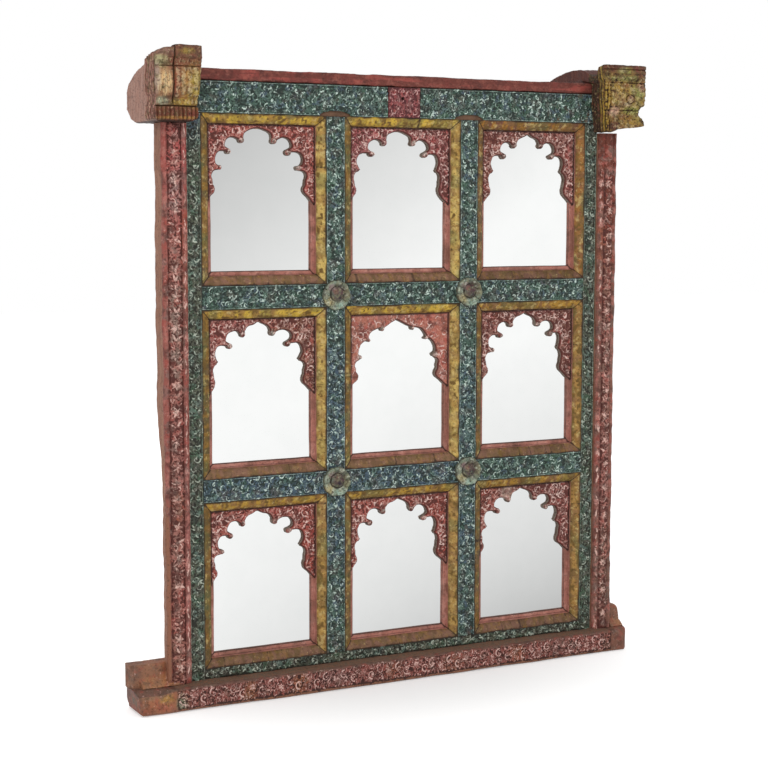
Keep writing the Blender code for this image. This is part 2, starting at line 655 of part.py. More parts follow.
def capital_plan(inner, outer, tail_inner, reach):
    """Plan of a capital: a bowed face, reeds down its outer side and a rounded plain tail."""
    shoulder = CAPITAL_PROJECTION - CAPITAL_BOW
    width = outer - inner
    points = [(inner, -CAPITAL_UNDERCUT), (inner, -shoulder)]
    for step in range(1, CAPITAL_BOW_STEPS):
        turn = math.pi * step / CAPITAL_BOW_STEPS
        points.append((inner + width * (1 - math.cos(turn)) / 2, -shoulder - CAPITAL_BOW * math.sin(turn)))
    reed_zone = CAPITAL_REED_COUNT * 2 * CAPITAL_REED_RADIUS
    start = -shoulder + (shoulder - reed_zone) / 2
    points += [(outer, -shoulder), (outer, start)]
    for reed in range(CAPITAL_REED_COUNT):
        middle = (outer - CAPITAL_REED_RADIUS, start + (2 * reed + 1) * CAPITAL_REED_RADIUS)
        points += arc(middle, CAPITAL_REED_RADIUS, -60, 60, 4)
    tail_outer = outer - CAPITAL_TAIL_SHOULDER
    turn_in = reach - CAPITAL_TAIL_ROUND
    points += [(outer, start + reed_zone), (outer, 0), (tail_outer, 0)]
    points += arc((tail_outer - CAPITAL_TAIL_ROUND, turn_in), CAPITAL_TAIL_ROUND, 0, 90, 3)
    points += arc((tail_inner + CAPITAL_TAIL_ROUND, turn_in), CAPITAL_TAIL_ROUND, 90, 180, 3)
    return points + [(tail_inner, -FIT_GAP)]


def scaled(shares, across_size, up_size, across_start=0):
    """An outline given in shares, brought to its size above a capital's foot."""
    return [(across_start + across * across_size, CAPITAL_BOTTOM + up * up_size) for across, up in shares]


def make_capital(name, side, plan_sizes, face_shares, tail_shares):
    """A capital: one block cut to its plan, face and side views, then notched over the lintel."""
    inner, outer, tail_inner, reach = plan_sizes
    plan = [(side * across, depth) for across, depth in capital_plan(inner, outer, tail_inner, reach)]
    block = prism(name, plan, CAPITAL_BOTTOM - CUT_OVERRUN, CAPITAL_TOP + CUT_OVERRUN, PLAN_VIEW)
    shade_round(block)
    face = scaled(face_shares, side * (outer - inner), CAPITAL_HEIGHT, side * inner)
    front = -CAPITAL_PROJECTION - CUT_OVERRUN
    combine(block, prism(name + "_face", face, front, reach + CUT_OVERRUN, FRONT_VIEW), "INTERSECT")
    profile = scaled(CARVED_SIDE_SHARES, -CAPITAL_PROJECTION, CAPITAL_HEIGHT)
    profile += scaled(tail_shares, reach, CAPITAL_HEIGHT)
    ends = sorted((side * (inner - CUT_OVERRUN), side * (outer + CUT_OVERRUN)))
    combine(block, prism(name + "_side", profile, ends[0], ends[1], SIDE_VIEW), "INTERSECT")
    ends = sorted((side * (inner - CUT_OVERRUN), side * PILASTER_INNER))
    notch = box(name + "_notch", (ends[0], -FIT_GAP, CAPITAL_BOTTOM - CUT_OVERRUN),
                (ends[1], FRAME_BACK + FIT_GAP, CAP_TOP + FIT_GAP))
    combine(block, notch, "DIFFERENCE")
    return keep_as(block, PARTS, "yellow_paint")


def eased(place, marks, targets):
    """Move a place so that each mark falls on its target, in even steps between two marks."""
    for low, high, start, end in zip(marks, marks[1:], targets, targets[1:]):
        if place <= high:
            break
    return start + (place - low) * (end - start) / (high - low)


def bracket_outline(crown, arcs, targets, reach):
    """Half of an arch from its crown outwards, then back along the board's straight sides.

    Every point is a share of the half width, across from the crown and down from the top, and
    reach is the share from the crown to the board's side.
    """
    points = list(crown)
    for across, down, radius, first, last in arcs:
        points += [(x, -y) for x, y in arc((across, -down), radius, first, last, CUSP_STEPS)]
    points += list(TAIL_SHARES) + [(1, ARCH_DROP_SHARE), (1, 0), (0, 0)]
    marks = (0, arcs[0][0], arcs[2][0], arcs[4][0], arcs[5][0] + arcs[5][2], 1)
    return [(eased(across, marks, (0, *targets, reach)), down) for across, down in points]


def make_bracket(row, column, side, side_name):
    """One of the two brackets that make a pane's arch."""
    half = ARCH_HALF_WIDTH - ARCH_CLEARANCE
    drift, crown, left, right = ARCH_SHAPES[row][column]
    arcs, targets = left if side < 0 else right
    middle = pane_left(column) + PANE_WIDTH / 2 + drift * half
    top = pane_bottom(row) + PANE_HEIGHT - BEVEL_WIDTH - ARCH_CLEARANCE
    seam = FIT_GAP / 2
    outline = [(middle + side * max(across * half, seam), top - down * half)
               for across, down in bracket_outline(crown, arcs, targets, 1 - side * drift)]
    low = BEVEL_DEPTH + ARCH_CLEARANCE
    name = "arch_" + side_name + "_" + str(row + 1) + "_" + str(column + 1)
    board = prism(name, outline, low, low + ARCH_THICKNESS, FRONT_VIEW)
    keep_as(board, PARTS, "red_paint")


def make_mirror(row, column):
    inset = WING_REACH - MIRROR_LAP
    left = pane_left(column) + inset
    right = pane_left(column) + PANE_WIDTH - inset
    low = pane_bottom(row) + inset
    high = pane_bottom(row) + PANE_HEIGHT - inset
    pane = box("mirror_" + str(row + 1) + "_" + str(column + 1), (left, MIRROR_FRONT, low),
               (right, MIRROR_FRONT + MIRROR_THICKNESS, high))
    keep_as(pane, PARTS, "mirror_glass")


def turned(name, profile, segments):
    """Turn a profile of (radius, height) points about its own upright axis."""
    mesh = bpy.data.meshes.new(name)
    corners = [(radius, 0, height) for radius, height in profile]
    edges = [(index, index + 1) for index in range(len(corners) - 1)]
    mesh.from_pydata(corners, edges, [])
    piece = bpy.data.objects.new(name, mesh)
    bpy.context.scene.collection.objects.link(piece)
    step = piece.modifiers.new("turn", "SCREW")
    step.axis = "Z"
    step.steps = segments
    step.render_steps = segments
    step.use_merge_vertices = True
    step.merge_threshold = FIT_GAP / 10
    step.use_normal_calculate = True
    return shade_round(as_mesh(piece, name))


def make_rosette(row, column):
    """A cupped disc with a domed boss, on the crossing right of and below a pane."""
    middle = (pane_left(column) + PANE_WIDTH + MUNTIN_WIDTH / 2, pane_bottom(row) - RAIL_HEIGHT / 2)
    profile = [(0, 0), (ROSETTE_RADIUS, 0)]
    profile += [(ROSETTE_RADIUS, ROSETTE_RIM_HEIGHT), (ROSETTE_LIP_RADIUS, ROSETTE_THICKNESS)]
    profile += [(ROSETTE_BOSS_RADIUS + ROSETTE_CUP_WIDTH, ROSETTE_CUP_HEIGHT)]
    profile += [(ROSETTE_BOSS_RADIUS, ROSETTE_CUP_HEIGHT)]
    dome = ROSETTE_BOSS_HEIGHT - ROSETTE_CUP_HEIGHT
    for turn in (25, 50, 75):
        angle = math.radians(turn)
        profile.append((ROSETTE_BOSS_RADIUS * math.cos(angle), ROSETTE_CUP_HEIGHT + dome * math.sin(angle)))
    profile.append((0, ROSETTE_BOSS_HEIGHT))
    name = "rosette_" + str(row + 1) + "_" + str(column + 1)
    disc = turned(name, profile, ROSETTE_SEGMENTS)
    disc.rotation_euler = FRONT_VIEW
    disc.location = (middle[0], -FIT_GAP, middle[1])
    keep_as(disc, PARTS, "cream_paint")


def make_back():
    half = STILE_OUTER - FIT_GAP
    board = box("back_board", (-half, BOARD_FRONT, LEDGE_TOP + FIT_GAP), (half, FRAME_BACK, LINTEL_TOP))
    keep_as(board, PARTS, "plain_board")
    reach = STILE_OUTER - BATTEN_END_INSET
    levels = {"upper_batten": GRID_TOP - BATTEN_DROP, "lower_batten": GRID_BOTTOM + BATTEN_DROP}
    for name, level in levels.items():
        batten = box(name, (-reach, BATTEN_FRONT, level - BATTEN_HEIGHT / 2),
                     (reach, BATTEN_BACK, level + BATTEN_HEIGHT / 2))
        keep_as(batten, PARTS, "plain_board")


def build():
    make_sill()
    make_bottom_rail()
    make_lintel()
    make_tablet()
    make_lintel_cap()
    make_stile("left_stile", -1)
    make_stile("right_stile", 1)
    hew_back(make_pilaster("left_pilaster", -1, LEFT_OUTER))
    make_pilaster("right_pilaster", 1, RIGHT_OUTER)
    outer = LEFT_OUTER + LEFT_CAPITAL_OVERHANG
    sizes = (outer - LEFT_CAPITAL_WIDTH, outer, PILASTER_INNER, LEFT_TAIL_REACH)
    make_capital("left_capital", -1, sizes, LEFT_FACE_SHARES, LEFT_TAIL_SHARES)
    outer = RIGHT_OUTER + RIGHT_CAPITAL_OVERHANG
    inner = outer - RIGHT_CAPITAL_WIDTH
    sizes = (inner, outer, inner, RIGHT_TAIL_REACH)
    make_capital("right_capital", 1, sizes, RIGHT_FACE_SHARES, RIGHT_TAIL_SHARES)
    for index in range(PANE_COLUMNS - 1):
        make_muntin(index)
    for row in range(PANE_ROWS):
        for column in range(PANE_COLUMNS):
            if row < PANE_ROWS - 1:
                make_rail(row, column)
            make_mirror(row, column)
            make_bracket(row, column, -1, "left")
            make_bracket(row, column, 1, "right")
    for row in range(PANE_ROWS - 1):
        for column in range(PANE_COLUMNS - 1):
            make_rosette(row, column)
    make_back()


build()
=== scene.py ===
"""Looks of the carved and painted wall mirror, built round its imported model.

Every carved bar is one grid: a closed section of points carried along the bar, whose front is
pushed in and out by a carving worked out on the same grid. Strokes, leaves, petals and dots are
stamped on that carving, each by the distance from it. All sizes are in metres.
"""
import math

import bmesh
import bpy
import numpy as np
from mathutils import Matrix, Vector
from mathutils.geometry import delaunay_2d_cdt


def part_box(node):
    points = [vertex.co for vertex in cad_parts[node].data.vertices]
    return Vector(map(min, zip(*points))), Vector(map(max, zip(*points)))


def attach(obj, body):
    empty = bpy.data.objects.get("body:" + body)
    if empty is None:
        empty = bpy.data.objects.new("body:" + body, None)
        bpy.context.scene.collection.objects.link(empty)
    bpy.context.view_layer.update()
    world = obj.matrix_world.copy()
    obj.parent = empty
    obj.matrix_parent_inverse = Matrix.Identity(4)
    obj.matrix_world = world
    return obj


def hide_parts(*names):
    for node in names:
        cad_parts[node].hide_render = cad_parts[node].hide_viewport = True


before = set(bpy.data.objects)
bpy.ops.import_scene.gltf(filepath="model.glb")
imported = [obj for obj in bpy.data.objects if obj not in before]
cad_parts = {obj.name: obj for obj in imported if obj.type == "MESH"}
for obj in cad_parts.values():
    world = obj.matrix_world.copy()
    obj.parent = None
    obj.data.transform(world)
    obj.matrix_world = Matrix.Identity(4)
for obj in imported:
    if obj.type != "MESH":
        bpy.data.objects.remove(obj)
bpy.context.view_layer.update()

# Pane grid and the moulding round each pane
PANE_COLUMNS = 3
PANE_ROWS = 3
PANE_WIDTH = 0.268
PANE_HEIGHT = 0.333
MUNTIN_WIDTH = 0.042
RAIL_HEIGHT = 0.048
STILE_WIDTH = 0.031
BOTTOM_RAIL_HEIGHT = 0.021
BEVEL_WIDTH = 0.018
BEVEL_DEPTH = 0.011
LIP_WIDTH = 0.009
LIP_FRONT = 0.020
LIP_BACK = 0.024
GLASS_LAP = 0.013
FIT_GAP = 0.0003

# How far back the members, the back board and the sill's heel reach
MEMBER_BACK = 0.0286
FRAME_BACK = 0.0329
HEEL_BACK = 0.0512

# Lintel, its cap and its tablet
LINTEL_HEIGHT = 0.063
CAP_HEIGHT = 0.023
TABLET_WIDTH = 0.074
TABLET_MARGIN = 0.001
POCKET_DEPTH = 0.0042

# Sill, pilasters and capitals. A capital's block is given by its inner side and its width
LEDGE_TOP = 0.048
SILL_FRONT = -0.040
SILL_LEFT = -0.5993
SILL_RIGHT = 0.5555
HORN_HEIGHT = 0.047
PILASTER_FRONT = -0.012
LEFT_PILASTER_WIDTH = 0.0532
RIGHT_PILASTER_WIDTH = 0.0477
CAPITAL_HEIGHT = 0.143
CAPITAL_BELOW_LINTEL = 0.020
LEFT_BLOCK = (0.457, 0.1003)
RIGHT_BLOCK = (0.452, 0.117)

# A pilaster's bead, the field between its grooves and the strip of petals, its rhythm, and the
# back of the left one, hewn away at its foot
BEAD_RADIUS = 0.0055
FIELD_START = 0.0135
FIELD_END = 0.0155
STRIP_WIDTH = 0.013
FLOWER_PITCH = 0.056
PETAL_PITCH = 0.0125
HEWN_TOP = 0.455
HEWN_RUN = 0.140
HEWN_DEPTH = 0.024

# The sill's plain ends and the rhythm of its frieze
PLAIN_LEFT = 0.085
PLAIN_RIGHT = 0.052
FRIEZE_PITCH = 0.0205

# A rosette's boss and rim, and how far its petals reach at most
BOSS_RADIUS = 0.0148
ROSETTE_RADIUS = 0.0292
ROSETTE_REACH = 0.0312

# Sizes that follow from the ones above, to a tenth of a millimetre
COLUMN_PITCH = PANE_WIDTH + MUNTIN_WIDTH
ROW_PITCH = PANE_HEIGHT + RAIL_HEIGHT
WING_REACH = round(BEVEL_WIDTH + LIP_WIDTH, 4)
REBATE_EDGE = round(WING_REACH - GLASS_LAP - FIT_GAP, 4)
GRID_HALF = round((PANE_COLUMNS * COLUMN_PITCH - MUNTIN_WIDTH) / 2, 4)
GRID_BOTTOM = round(LEDGE_TOP + BOTTOM_RAIL_HEIGHT, 4)
GRID_TOP = round(GRID_BOTTOM + PANE_ROWS * ROW_PITCH - RAIL_HEIGHT, 4)
LINTEL_TOP = round(GRID_TOP + LINTEL_HEIGHT, 4)
CAP_TOP = round(LINTEL_TOP + CAP_HEIGHT, 4)
STILE_OUTER = round(GRID_HALF + STILE_WIDTH, 4)
PILASTER_INNER = STILE_OUTER + FIT_GAP
LEFT_OUTER = round(PILASTER_INNER + LEFT_PILASTER_WIDTH, 4)
RIGHT_OUTER = round(PILASTER_INNER + RIGHT_PILASTER_WIDTH, 4)
CAPITAL_BOTTOM = round(GRID_TOP - CAPITAL_BELOW_LINTEL, 4)

# Carving: grid spacing, depth from ground to crest, and the height that lies in the flat face
CARVING_STEP = 0.00125
CARVE_DEPTH = 0.0022
FACE_LEVEL = 0.45


def pane_left(column):
    """Left side of a pane's opening in the flat face."""
    return -GRID_HALF + column * COLUMN_PITCH


def pane_bottom(row):
    """Bottom of a pane's opening in the flat face, with row 0 at the top."""
    return GRID_BOTTOM + (PANE_ROWS - 1 - row) * ROW_PITCH


# Curves and noise
def smooth(low, high, x):
    """0 below low, 1 above high, and 3t^2 - 2t^3 between them."""
    t = np.clip((x - low) / (high - low), 0, 1)
    return t * t * (3 - 2 * t)


def bell(x, middle, width):
    """A ridge of height 1: exp(-d^2), with d the distance from its middle in widths."""
    return np.exp(-((x - middle) / width) ** 2)


def dome(share):
    """A half round of height 1: sqrt(1 - share^2), and 0 outside it."""
    return np.sqrt(np.clip(1 - share ** 2, 0, 1))


def noise(points, size, seed):
    """Smooth noise from 0 to 1: fixed random values on a cubic lattice of the given size,
    blended by 3t^2 - 2t^3 of a point's place in its cell."""
    table = np.random.default_rng(seed).random(4096)
    q = points / size
    cell = np.floor(q).astype(np.int64)
    t = q - cell
    t = t * t * (3 - 2 * t)
    total = 0
    for i in (0, 1):
        for j in (0, 1):
            for k in (0, 1):
                key = ((cell[..., 0] + i) * 73856093) ^ ((cell[..., 1] + j) * 19349663)
                key = (key ^ ((cell[..., 2] + k) * 83492791)) & 4095
                weight = (t[..., 0] if i else 1 - t[..., 0]) * (t[..., 1] if j else 1 - t[..., 1])
                total = total + table[key] * weight * (t[..., 2] if k else 1 - t[..., 2])
    return total


def noise_at(x, y, z, size, seed):
    """Noise at places given by their three coordinates, each an array or one number."""
    return noise(np.stack(np.broadcast_arrays(x, y, z), -1), size, seed)


# Carving
class Carving:
    """A carving on a flat: heights from 0 to 1 on a grid, u along the bar and v across it."""

    def __init__(self, length, width, step=CARVING_STEP):
        self.length = length
        self.width = width
        self.u = np.linspace(0, length, max(int(round(length / step)) + 1, 3))
        self.v = np.linspace(0, width, max(int(round(width / step)) + 1, 3))
        self.h = np.zeros((len(self.u), len(self.v)))

    def places(self):
        """All places of the grid, one (u, v) to a row."""
        return np.stack(np.meshgrid(self.u, self.v, indexing="ij"), -1).reshape(-1, 2)

    def flatten(self, share, height):
        """Bring the carving to one height by a share, which may change over it."""
        self.h = self.h * (1 - share) + height * share

    def at(self, u, v):
        """The height at one place."""
        return self.h[np.searchsorted(self.u, u) - 1, np.searchsorted(self.v, v) - 1]

    def window(self, u, v, reach):
        """The part of the grid within reach of a point, and its places from that point."""
        i0, i1 = np.searchsorted(self.u, (u - reach, u + reach))
        j0, j1 = np.searchsorted(self.v, (v - reach, v + reach))
        return (slice(i0, i1), slice(j0, j1)), self.u[i0:i1, None] - u, self.v[None, j0:j1] - v

    def raise_to(self, part, height):
        """Raise a part of the carving to new heights where they stand above it."""
        self.h[part] = np.maximum(self.h[part], height)

    def arc(self, u, v, radius, start, sweep, thick, height=1.0, curl=0.5):
        """A tapered curl: a half round of the distance d to an arc, over its half width w. The
        radius shrinks by the curl's share along the sweep, and w by three fifths."""
        part, du, dv = self.window(u, v, radius + thick)
        turn = np.mod((np.arctan2(dv, du) - start) * math.copysign(1, sweep), 2 * math.pi)
        inside = turn <= abs(sweep)
        t = np.where(inside, turn / abs(sweep), 0)
        d = np.where(inside, np.hypot(du, dv) - radius * (1 - curl * t), 1)
        self.raise_to(part, height * dome(d / (thick * (1 - 0.6 * t))))

    def leaf(self, u, v, length, width, turn, height=1.0, vein=0.4):
        """A pointed leaf: its half width is sin(pi s^0.75) along its length s, half round
        across, with a vein cut along its middle."""
        part, du, dv = self.window(u, v, length)
        p = (du * math.cos(turn) + dv * math.sin(turn)) / length
        q = -du * math.sin(turn) + dv * math.cos(turn)
        s = np.clip(p, 0, 1)
        w = np.maximum(width * np.sin(math.pi * s ** 0.75), 1e-6)
        cut = vein * bell(q, 0, 0.22 * width) * smooth(0.95, 0.3, s)
        self.raise_to(part, height * dome(q / w) * ((p > 0) & (p < 1)) * (1 - cut))

    def petal(self, u, v, length, width, turn, height=1.0):
        """An outlined petal, whose half width is sqrt(1 - s^2.2) along its length s: a rim where
        the share of that width is near 0.78, and a lower bead along the middle."""
        part, du, dv = self.window(u, v, length * 1.1)
        p = (du * math.cos(turn) + dv * math.sin(turn)) / length
        q = -du * math.sin(turn) + dv * math.cos(turn)
        w = np.maximum(width * np.sqrt(np.clip(1 - np.clip(p, 0, 1) ** 2.2, 0, 1)), 1e-6)
        edge = np.abs(q) / w
        core = 0.75 * bell(edge, 0, 0.3) * smooth(0.05, 0.3, p) * smooth(0.85, 0.5, p)
        inside = (p > 0) & (p < 1) & (edge < 1)
        self.raise_to(part, height * inside * np.maximum(bell(edge, 0.78, 0.2), core))

    def dot(self, u, v, radius, height=1.0):
        """A round bead: a half round of the distance from its middle."""
        part, du, dv = self.window(u, v, radius)
        self.raise_to(part, height * dome(np.hypot(du, dv) / radius))

    def line(self, v, half, height=1.0):
        """A raised fillet along the whole bar."""
        self.raise_to(slice(None), height * dome((self.v - v) / half))


def fill_ground(c, rng, u_range, v_range, spacing=0.0042, sizes=(0.0045, 0.0085), height=0.8):
    """Small leaves and curls laid wherever the ground is still bare, tried at random places,
    eight to each five squares of the given spacing."""
    bare = 0.12
    curl_share = 0.35
    count = int((u_range[1] - u_range[0]) * (v_range[1] - v_range[0]) / spacing ** 2 * 1.6)
    tries = zip(rng.uniform(*u_range, count), rng.uniform(*v_range, count), rng.uniform(0, 6.28, count),
                rng.uniform(*sizes, count), rng.random(count))
    for u, v, turn, size, kind in tries:
        if c.at(u, v) > bare:
            continue
        if kind < curl_share:
            c.arc(u, v, size * 0.36, turn, 2.4 + 6 * kind, size * 0.15, height * (0.8 + kind))
        else:
            c.leaf(u - size * 0.5 * math.cos(turn), v - size * 0.5 * math.sin(turn), size, size * 0.21, turn,
                   height * (0.45 + 0.75 * kind), 0)


def vine(c, rng, lanes, margin, pitch):
    """A running vine: curls turn from side to side, each with a spray of leaves on its back and
    a stem to the next, over a ground of low small leaves and curls."""
    lane_width = (c.width - 2 * margin) / lanes
    for lane in range(lanes):
        middle = margin + (lane + 0.5) * lane_width
        for k in range(int(c.length / pitch) + 1):
            u = (k + 0.5 + 0.5 * (lane % 2)) * pitch + rng.normal(0, 0.0020)
            side = 1 if (k + lane) % 2 else -1
            radius = 0.30 * min(lane_width, pitch * 1.25) * rng.uniform(0.75, 1.2)
            start = side * math.pi / 2 + rng.normal(0, 0.8)
            v = middle + side * 0.11 * lane_width + rng.normal(0, 0.0014)
            thick = rng.uniform(0.0017, 0.0023)
            c.arc(u, v, radius, start, side * rng.uniform(1.8, 4.6), thick, rng.uniform(0.7, 1), 0.55)
            if rng.random() < 0.6:
                c.dot(u, v, thick, rng.uniform(0.6, 1))
            way = start + side * rng.uniform(1.8, 3.2)
            root = radius * 1.2
            for turn in (-0.8, 0, 0.8):
                c.leaf(u + root * math.cos(way), v + root * math.sin(way), rng.uniform(0.009, 0.014),
                       rng.uniform(0.0016, 0.0023), way + turn + rng.normal(0, 0.2), rng.uniform(0.6, 1))
            back = math.pi if side > 0 else 0
            c.arc(u + 0.5 * pitch, middle, 0.5 * pitch, back, side * 2.6, 0.0012, 0.6, 0.1)
            if rng.random() < 0.5:
                c.dot(u + 0.5 * pitch, middle - side * 0.36 * lane_width, rng.uniform(0.0014, 0.0024), 0.95)
    fill_ground(c, rng, (0, c.length), (margin, c.width - margin), 0.0050, (0.006, 0.011), 0.56)


# Meshes and their masks
# The grime mask holds dirt, and also painted shade in joints and corners and along edges.
MASKS = ("relief", "zone", "wear", "grime_and_shade", "side")


def tube_faces(rows, columns, closed=False):
    """Quads between neighbours of a tube's points, numbered row by row, each row a loop. A closed
    tube also joins its last row to its first."""
    r = np.arange(rows if closed else rows - 1)[:, None]
    k = np.arange(columns)[None, :]
    r1, k1 = (r + 1) % rows, (k + 1) % columns
    corners = [r * columns + k, r1 * columns + k, r1 * columns + k1, r * columns + k1]
    return np.stack(corners, -1).reshape(-1, 4)


def end_fans(rows, columns):
    """Triangles from a tube's first and last loop to their middles, the two points after its own."""
    ring = np.arange(columns)
    first, last = ring[::-1], ring + (rows - 1) * columns
    return np.concatenate([np.stack([loop, np.roll(loop, -1), np.full(columns, rows * columns + end)], -1)
                           for end, loop in enumerate((first, last))])


def put(name, points, quads, triangles, masks, finish, replaced=()):
    """Put a mesh in the scene with its masks, facing outwards: the faces are turned round where
    the volume under them, a sum of a . (b x c) / 6, comes out below zero."""
    split = np.concatenate([quads[:, [0, 1, 2]], quads[:, [0, 2, 3]], triangles])
    a, b, c = (points[split[:, i]] for i in range(3))
    if np.einsum("ij,ij->i", a, np.cross(b, c)).sum() < 0:
        quads, triangles = quads[:, ::-1], triangles[:, ::-1]
    mesh = bpy.data.meshes.new(name)
    mesh.vertices.add(len(points))
    mesh.vertices.foreach_set("co", np.ascontiguousarray(points, np.float32).ravel())
    corners = np.concatenate([quads.ravel(), triangles.ravel()]).astype(np.int32)
    sizes = np.concatenate([np.full(len(quads), 4), np.full(len(triangles), 3)])
    mesh.loops.add(len(corners))
    mesh.loops.foreach_set("vertex_index", corners)
    mesh.polygons.add(len(sizes))
    mesh.polygons.foreach_set("loop_start", (np.cumsum(sizes) - sizes).astype(np.int32))
    mesh.update(calc_edges=True)
    mesh.validate()
    for mask in MASKS:
        values = np.ascontiguousarray(np.broadcast_to(masks.get(mask, 0), len(points)), np.float32)
        mesh.attributes.new(mask, "FLOAT", "POINT").data.foreach_set("value", values)
    if "coat" in masks:
        colours = np.ascontiguousarray(masks["coat"], np.float32).ravel()
        mesh.attributes.new("coat", "FLOAT_COLOR", "POINT").data.foreach_set("color", colours)
    mesh.shade_smooth()
    mesh.set_sharp_from_angle(angle=math.radians(55))
    mesh.materials.append(finish)
    piece = bpy.data.objects.new(name, mesh)
    bpy.context.scene.collection.objects.link(piece)
    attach(piece, "root")
    if replaced:
        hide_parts(*replaced)
    return piece


NO_TRIANGLES = np.zeros((0, 3), int)


def bar(name, c, axis, start, across, front, back, finish, replaced=(), zone=0, wear=0, grime_and_shade=0,
        coat=None, bare=1.0, depth=CARVE_DEPTH, rough=0.0005, edge_round=0.0012, side_rows=6, back_rows=4,
        shape=None, seed=1):
    """A carved bar. Its section is a closed loop: the carved front, a side, the back and the
    other side, and it is carried along the bar.

    The front lies at a depth, one or a grid of them, less the carving's depth times its height,
    plus noise. The sides run back from its edges in equal shares to the back, which may change
    along the bar. Zone, wear and grime are shares on the front's grid, the grime standing for dirt
    and painted shade, coat its colours, and bare the share of bare wood on the sides. Axis is the
    world axis that the bar runs along, start its first place, and across the places of v = 0 and
    v = width on the other axis.
    """
    n, m = c.h.shape
    way = -1 if across[1] < across[0] else 1
    base = np.broadcast_to(front, (n, m))
    rear = np.broadcast_to(back, n)[:, None]
    world = np.stack(np.broadcast_arrays((c.u + start)[:, None], base, across[0] + way * c.v), -1)
    wobble = noise(world, 0.013, seed) - 0.5 + 0.5 * (noise(world, 0.004, seed + 1) - 0.5)
    edge = np.minimum(c.v, c.width - c.v)
    drop = edge_round * (1 - dome(np.clip(1 - edge / edge_round, 0, 1)))
    face = base + depth * (FACE_LEVEL - c.h) * smooth(0, 0.002, edge) + rough * 2 * wobble + drop
    shares = (np.arange(side_rows) + 1) / (side_rows + 1)
    far = face[:, -1:] + shares * (rear - face[:, -1:])
    near = face[:, :1] + shares[::-1] * (rear - face[:, :1])
    y = np.concatenate([face, far, np.repeat(rear, back_rows, 1), near], 1)
    columns = y.shape[1]
    back_v = np.linspace(c.width, 0, back_rows)
    loop_v = np.concatenate([c.v, np.full(side_rows, c.width), back_v, np.zeros(side_rows)])
    loop = np.stack(np.broadcast_arrays((c.u + start)[:, None], y, across[0] + way * loop_v), -1)
    sway = (noise(loop, 0.03, seed + 2) - 0.5) * 2 * rough + (noise(loop, 0.007, seed + 3) - 0.5) * rough
    outward = np.sign(loop_v - c.width / 2) * smooth(0.35, 0.5, np.abs(loop_v / c.width - 0.5))
    loop[..., 2] += sway * outward * way
    points = (loop if axis == "x" else loop[..., [2, 1, 0]]).reshape(-1, 3)
    if shape:
        points = shape(points)
    middles = [points[:columns].mean(0), points[-columns:].mean(0)]

    def all_round(front_values, rest):
        """Values on the front and on the rest of the section, then those of the ends' middles."""
        fields = [np.broadcast_to(front_values, (n, m)), np.broadcast_to(rest, (n, columns - m))]
        values = np.concatenate(fields, 1).ravel()
        return np.concatenate([values, values[:1], values[-1:]])

    masks = {"relief": all_round(c.h, 0.35), "side": all_round(0.0, np.reshape(bare, (-1, 1)))}
    masks["side"][-2:] = 1
    for mask, value in (("zone", zone), ("wear", wear), ("grime_and_shade", grime_and_shade)):
        masks[mask] = all_round(value, np.broadcast_to(value, (n, m))[:, -1:])
    if coat is not None:
        coat = coat.reshape(n, m, 4)
        spare = columns - m
        halves = [np.repeat(coat[:, -1:], (spare + 1) // 2, 1), np.repeat(coat[:, :1], spare // 2, 1)]
        coat = np.concatenate([coat, *halves], 1).reshape(-1, 4)
        masks["coat"] = np.concatenate([coat, coat[:1], coat[-1:]])
    return put(name, np.concatenate([points, middles]), tube_faces(n, columns), end_fans(n, columns), masks,
               finish, replaced)


# Finishes
def linear(code):
    """An sRGB hex colour as linear red, green and blue, with alpha 1."""
    parts = [int(code[i:i + 2], 16) / 255 for i in (1, 3, 5)]
    return (*[p / 12.92 if p <= 0.04045 else ((p + 0.055) / 1.055) ** 2.4 for p in parts], 1.0)


def add(tree, kind, sockets=(), out=0, **settings):
    """Add a node with its settings, link or set its input sockets, given in order or by number
    or name, and return the output asked for."""
    node = tree.nodes.new("ShaderNode" + kind)
    for key, value in settings.items():
        setattr(node, key, value)
    for key, value in sockets.items() if isinstance(sockets, dict) else enumerate(sockets):
        if isinstance(value, bpy.types.NodeSocket):
            tree.links.new(value, node.inputs[key])
        else:
            node.inputs[key].default_value = value
    return node.outputs[out] if len(node.outputs) else None


def worked(tree, value, *steps):
    """Carry a value through steps of arithmetic, each an operation and its second value."""
    for operation, amount in steps:
        value = add(tree, "Math", (value, amount), operation=operation)
    return value


def shaded(tree, height, roughness, colour, **uniform):
    """End a tree in a Principled surface with a bump of 0.7 mm at most, and set the values that
    are the same all over it on its own sockets."""
    sockets = {"Base Color": colour, "Roughness": roughness, **uniform}
    if height:
        sockets["Normal"] = add(tree, "Bump", {"Strength": 0.6, "Distance": 0.0007, "Height": height})
    surface = add(tree, "BsdfPrincipled", sockets)
    add(tree, "OutputMaterial", (surface,))
    return surface


def new_material(name):
    """An empty material, its node tree and its Object coordinates."""
    material = bpy.data.materials.new(name)
    material.use_nodes = True
    material.node_tree.nodes.clear()
    return material, material.node_tree, add(material.node_tree, "TexCoord", out="Object")


def grains(tree, place, table):
    """Noises by name. Each row gives how far the noise is moved, the size of its grains in
    metres, its detail and its roughness."""
    found = {}
    for key, (move, size, detail, rough) in table.items():
        moved = add(tree, "Mapping", {"Vector": place, "Location": (3.1 * move, 1.7 * move, 4.3 * move)})
        sockets = {"Vector": moved, "Scale": 1 / size, "Detail": detail, "Roughness": rough}
        found[key] = add(tree, "TexNoise", sockets)
    return found


def layered(tree, tone, coats):
    """Lay colours over a tone. Each shows where its mask, plus the amounts given of other masks,
    passes from low to high, and covers up to its share."""
    for mask, others, low, high, share, colour in coats:
        for other, amount in others:
            mask = add(tree, "Math", (other, amount, mask), operation="MULTIPLY_ADD")
        seen = add(tree, "MapRange", (mask, low, high, 0.0, share), interpolation_type="SMOOTHSTEP")
        tone = add(tree, "Mix", {0: seen, 6: tone, 7: colour}, 2, data_type="RGBA")
    return tone


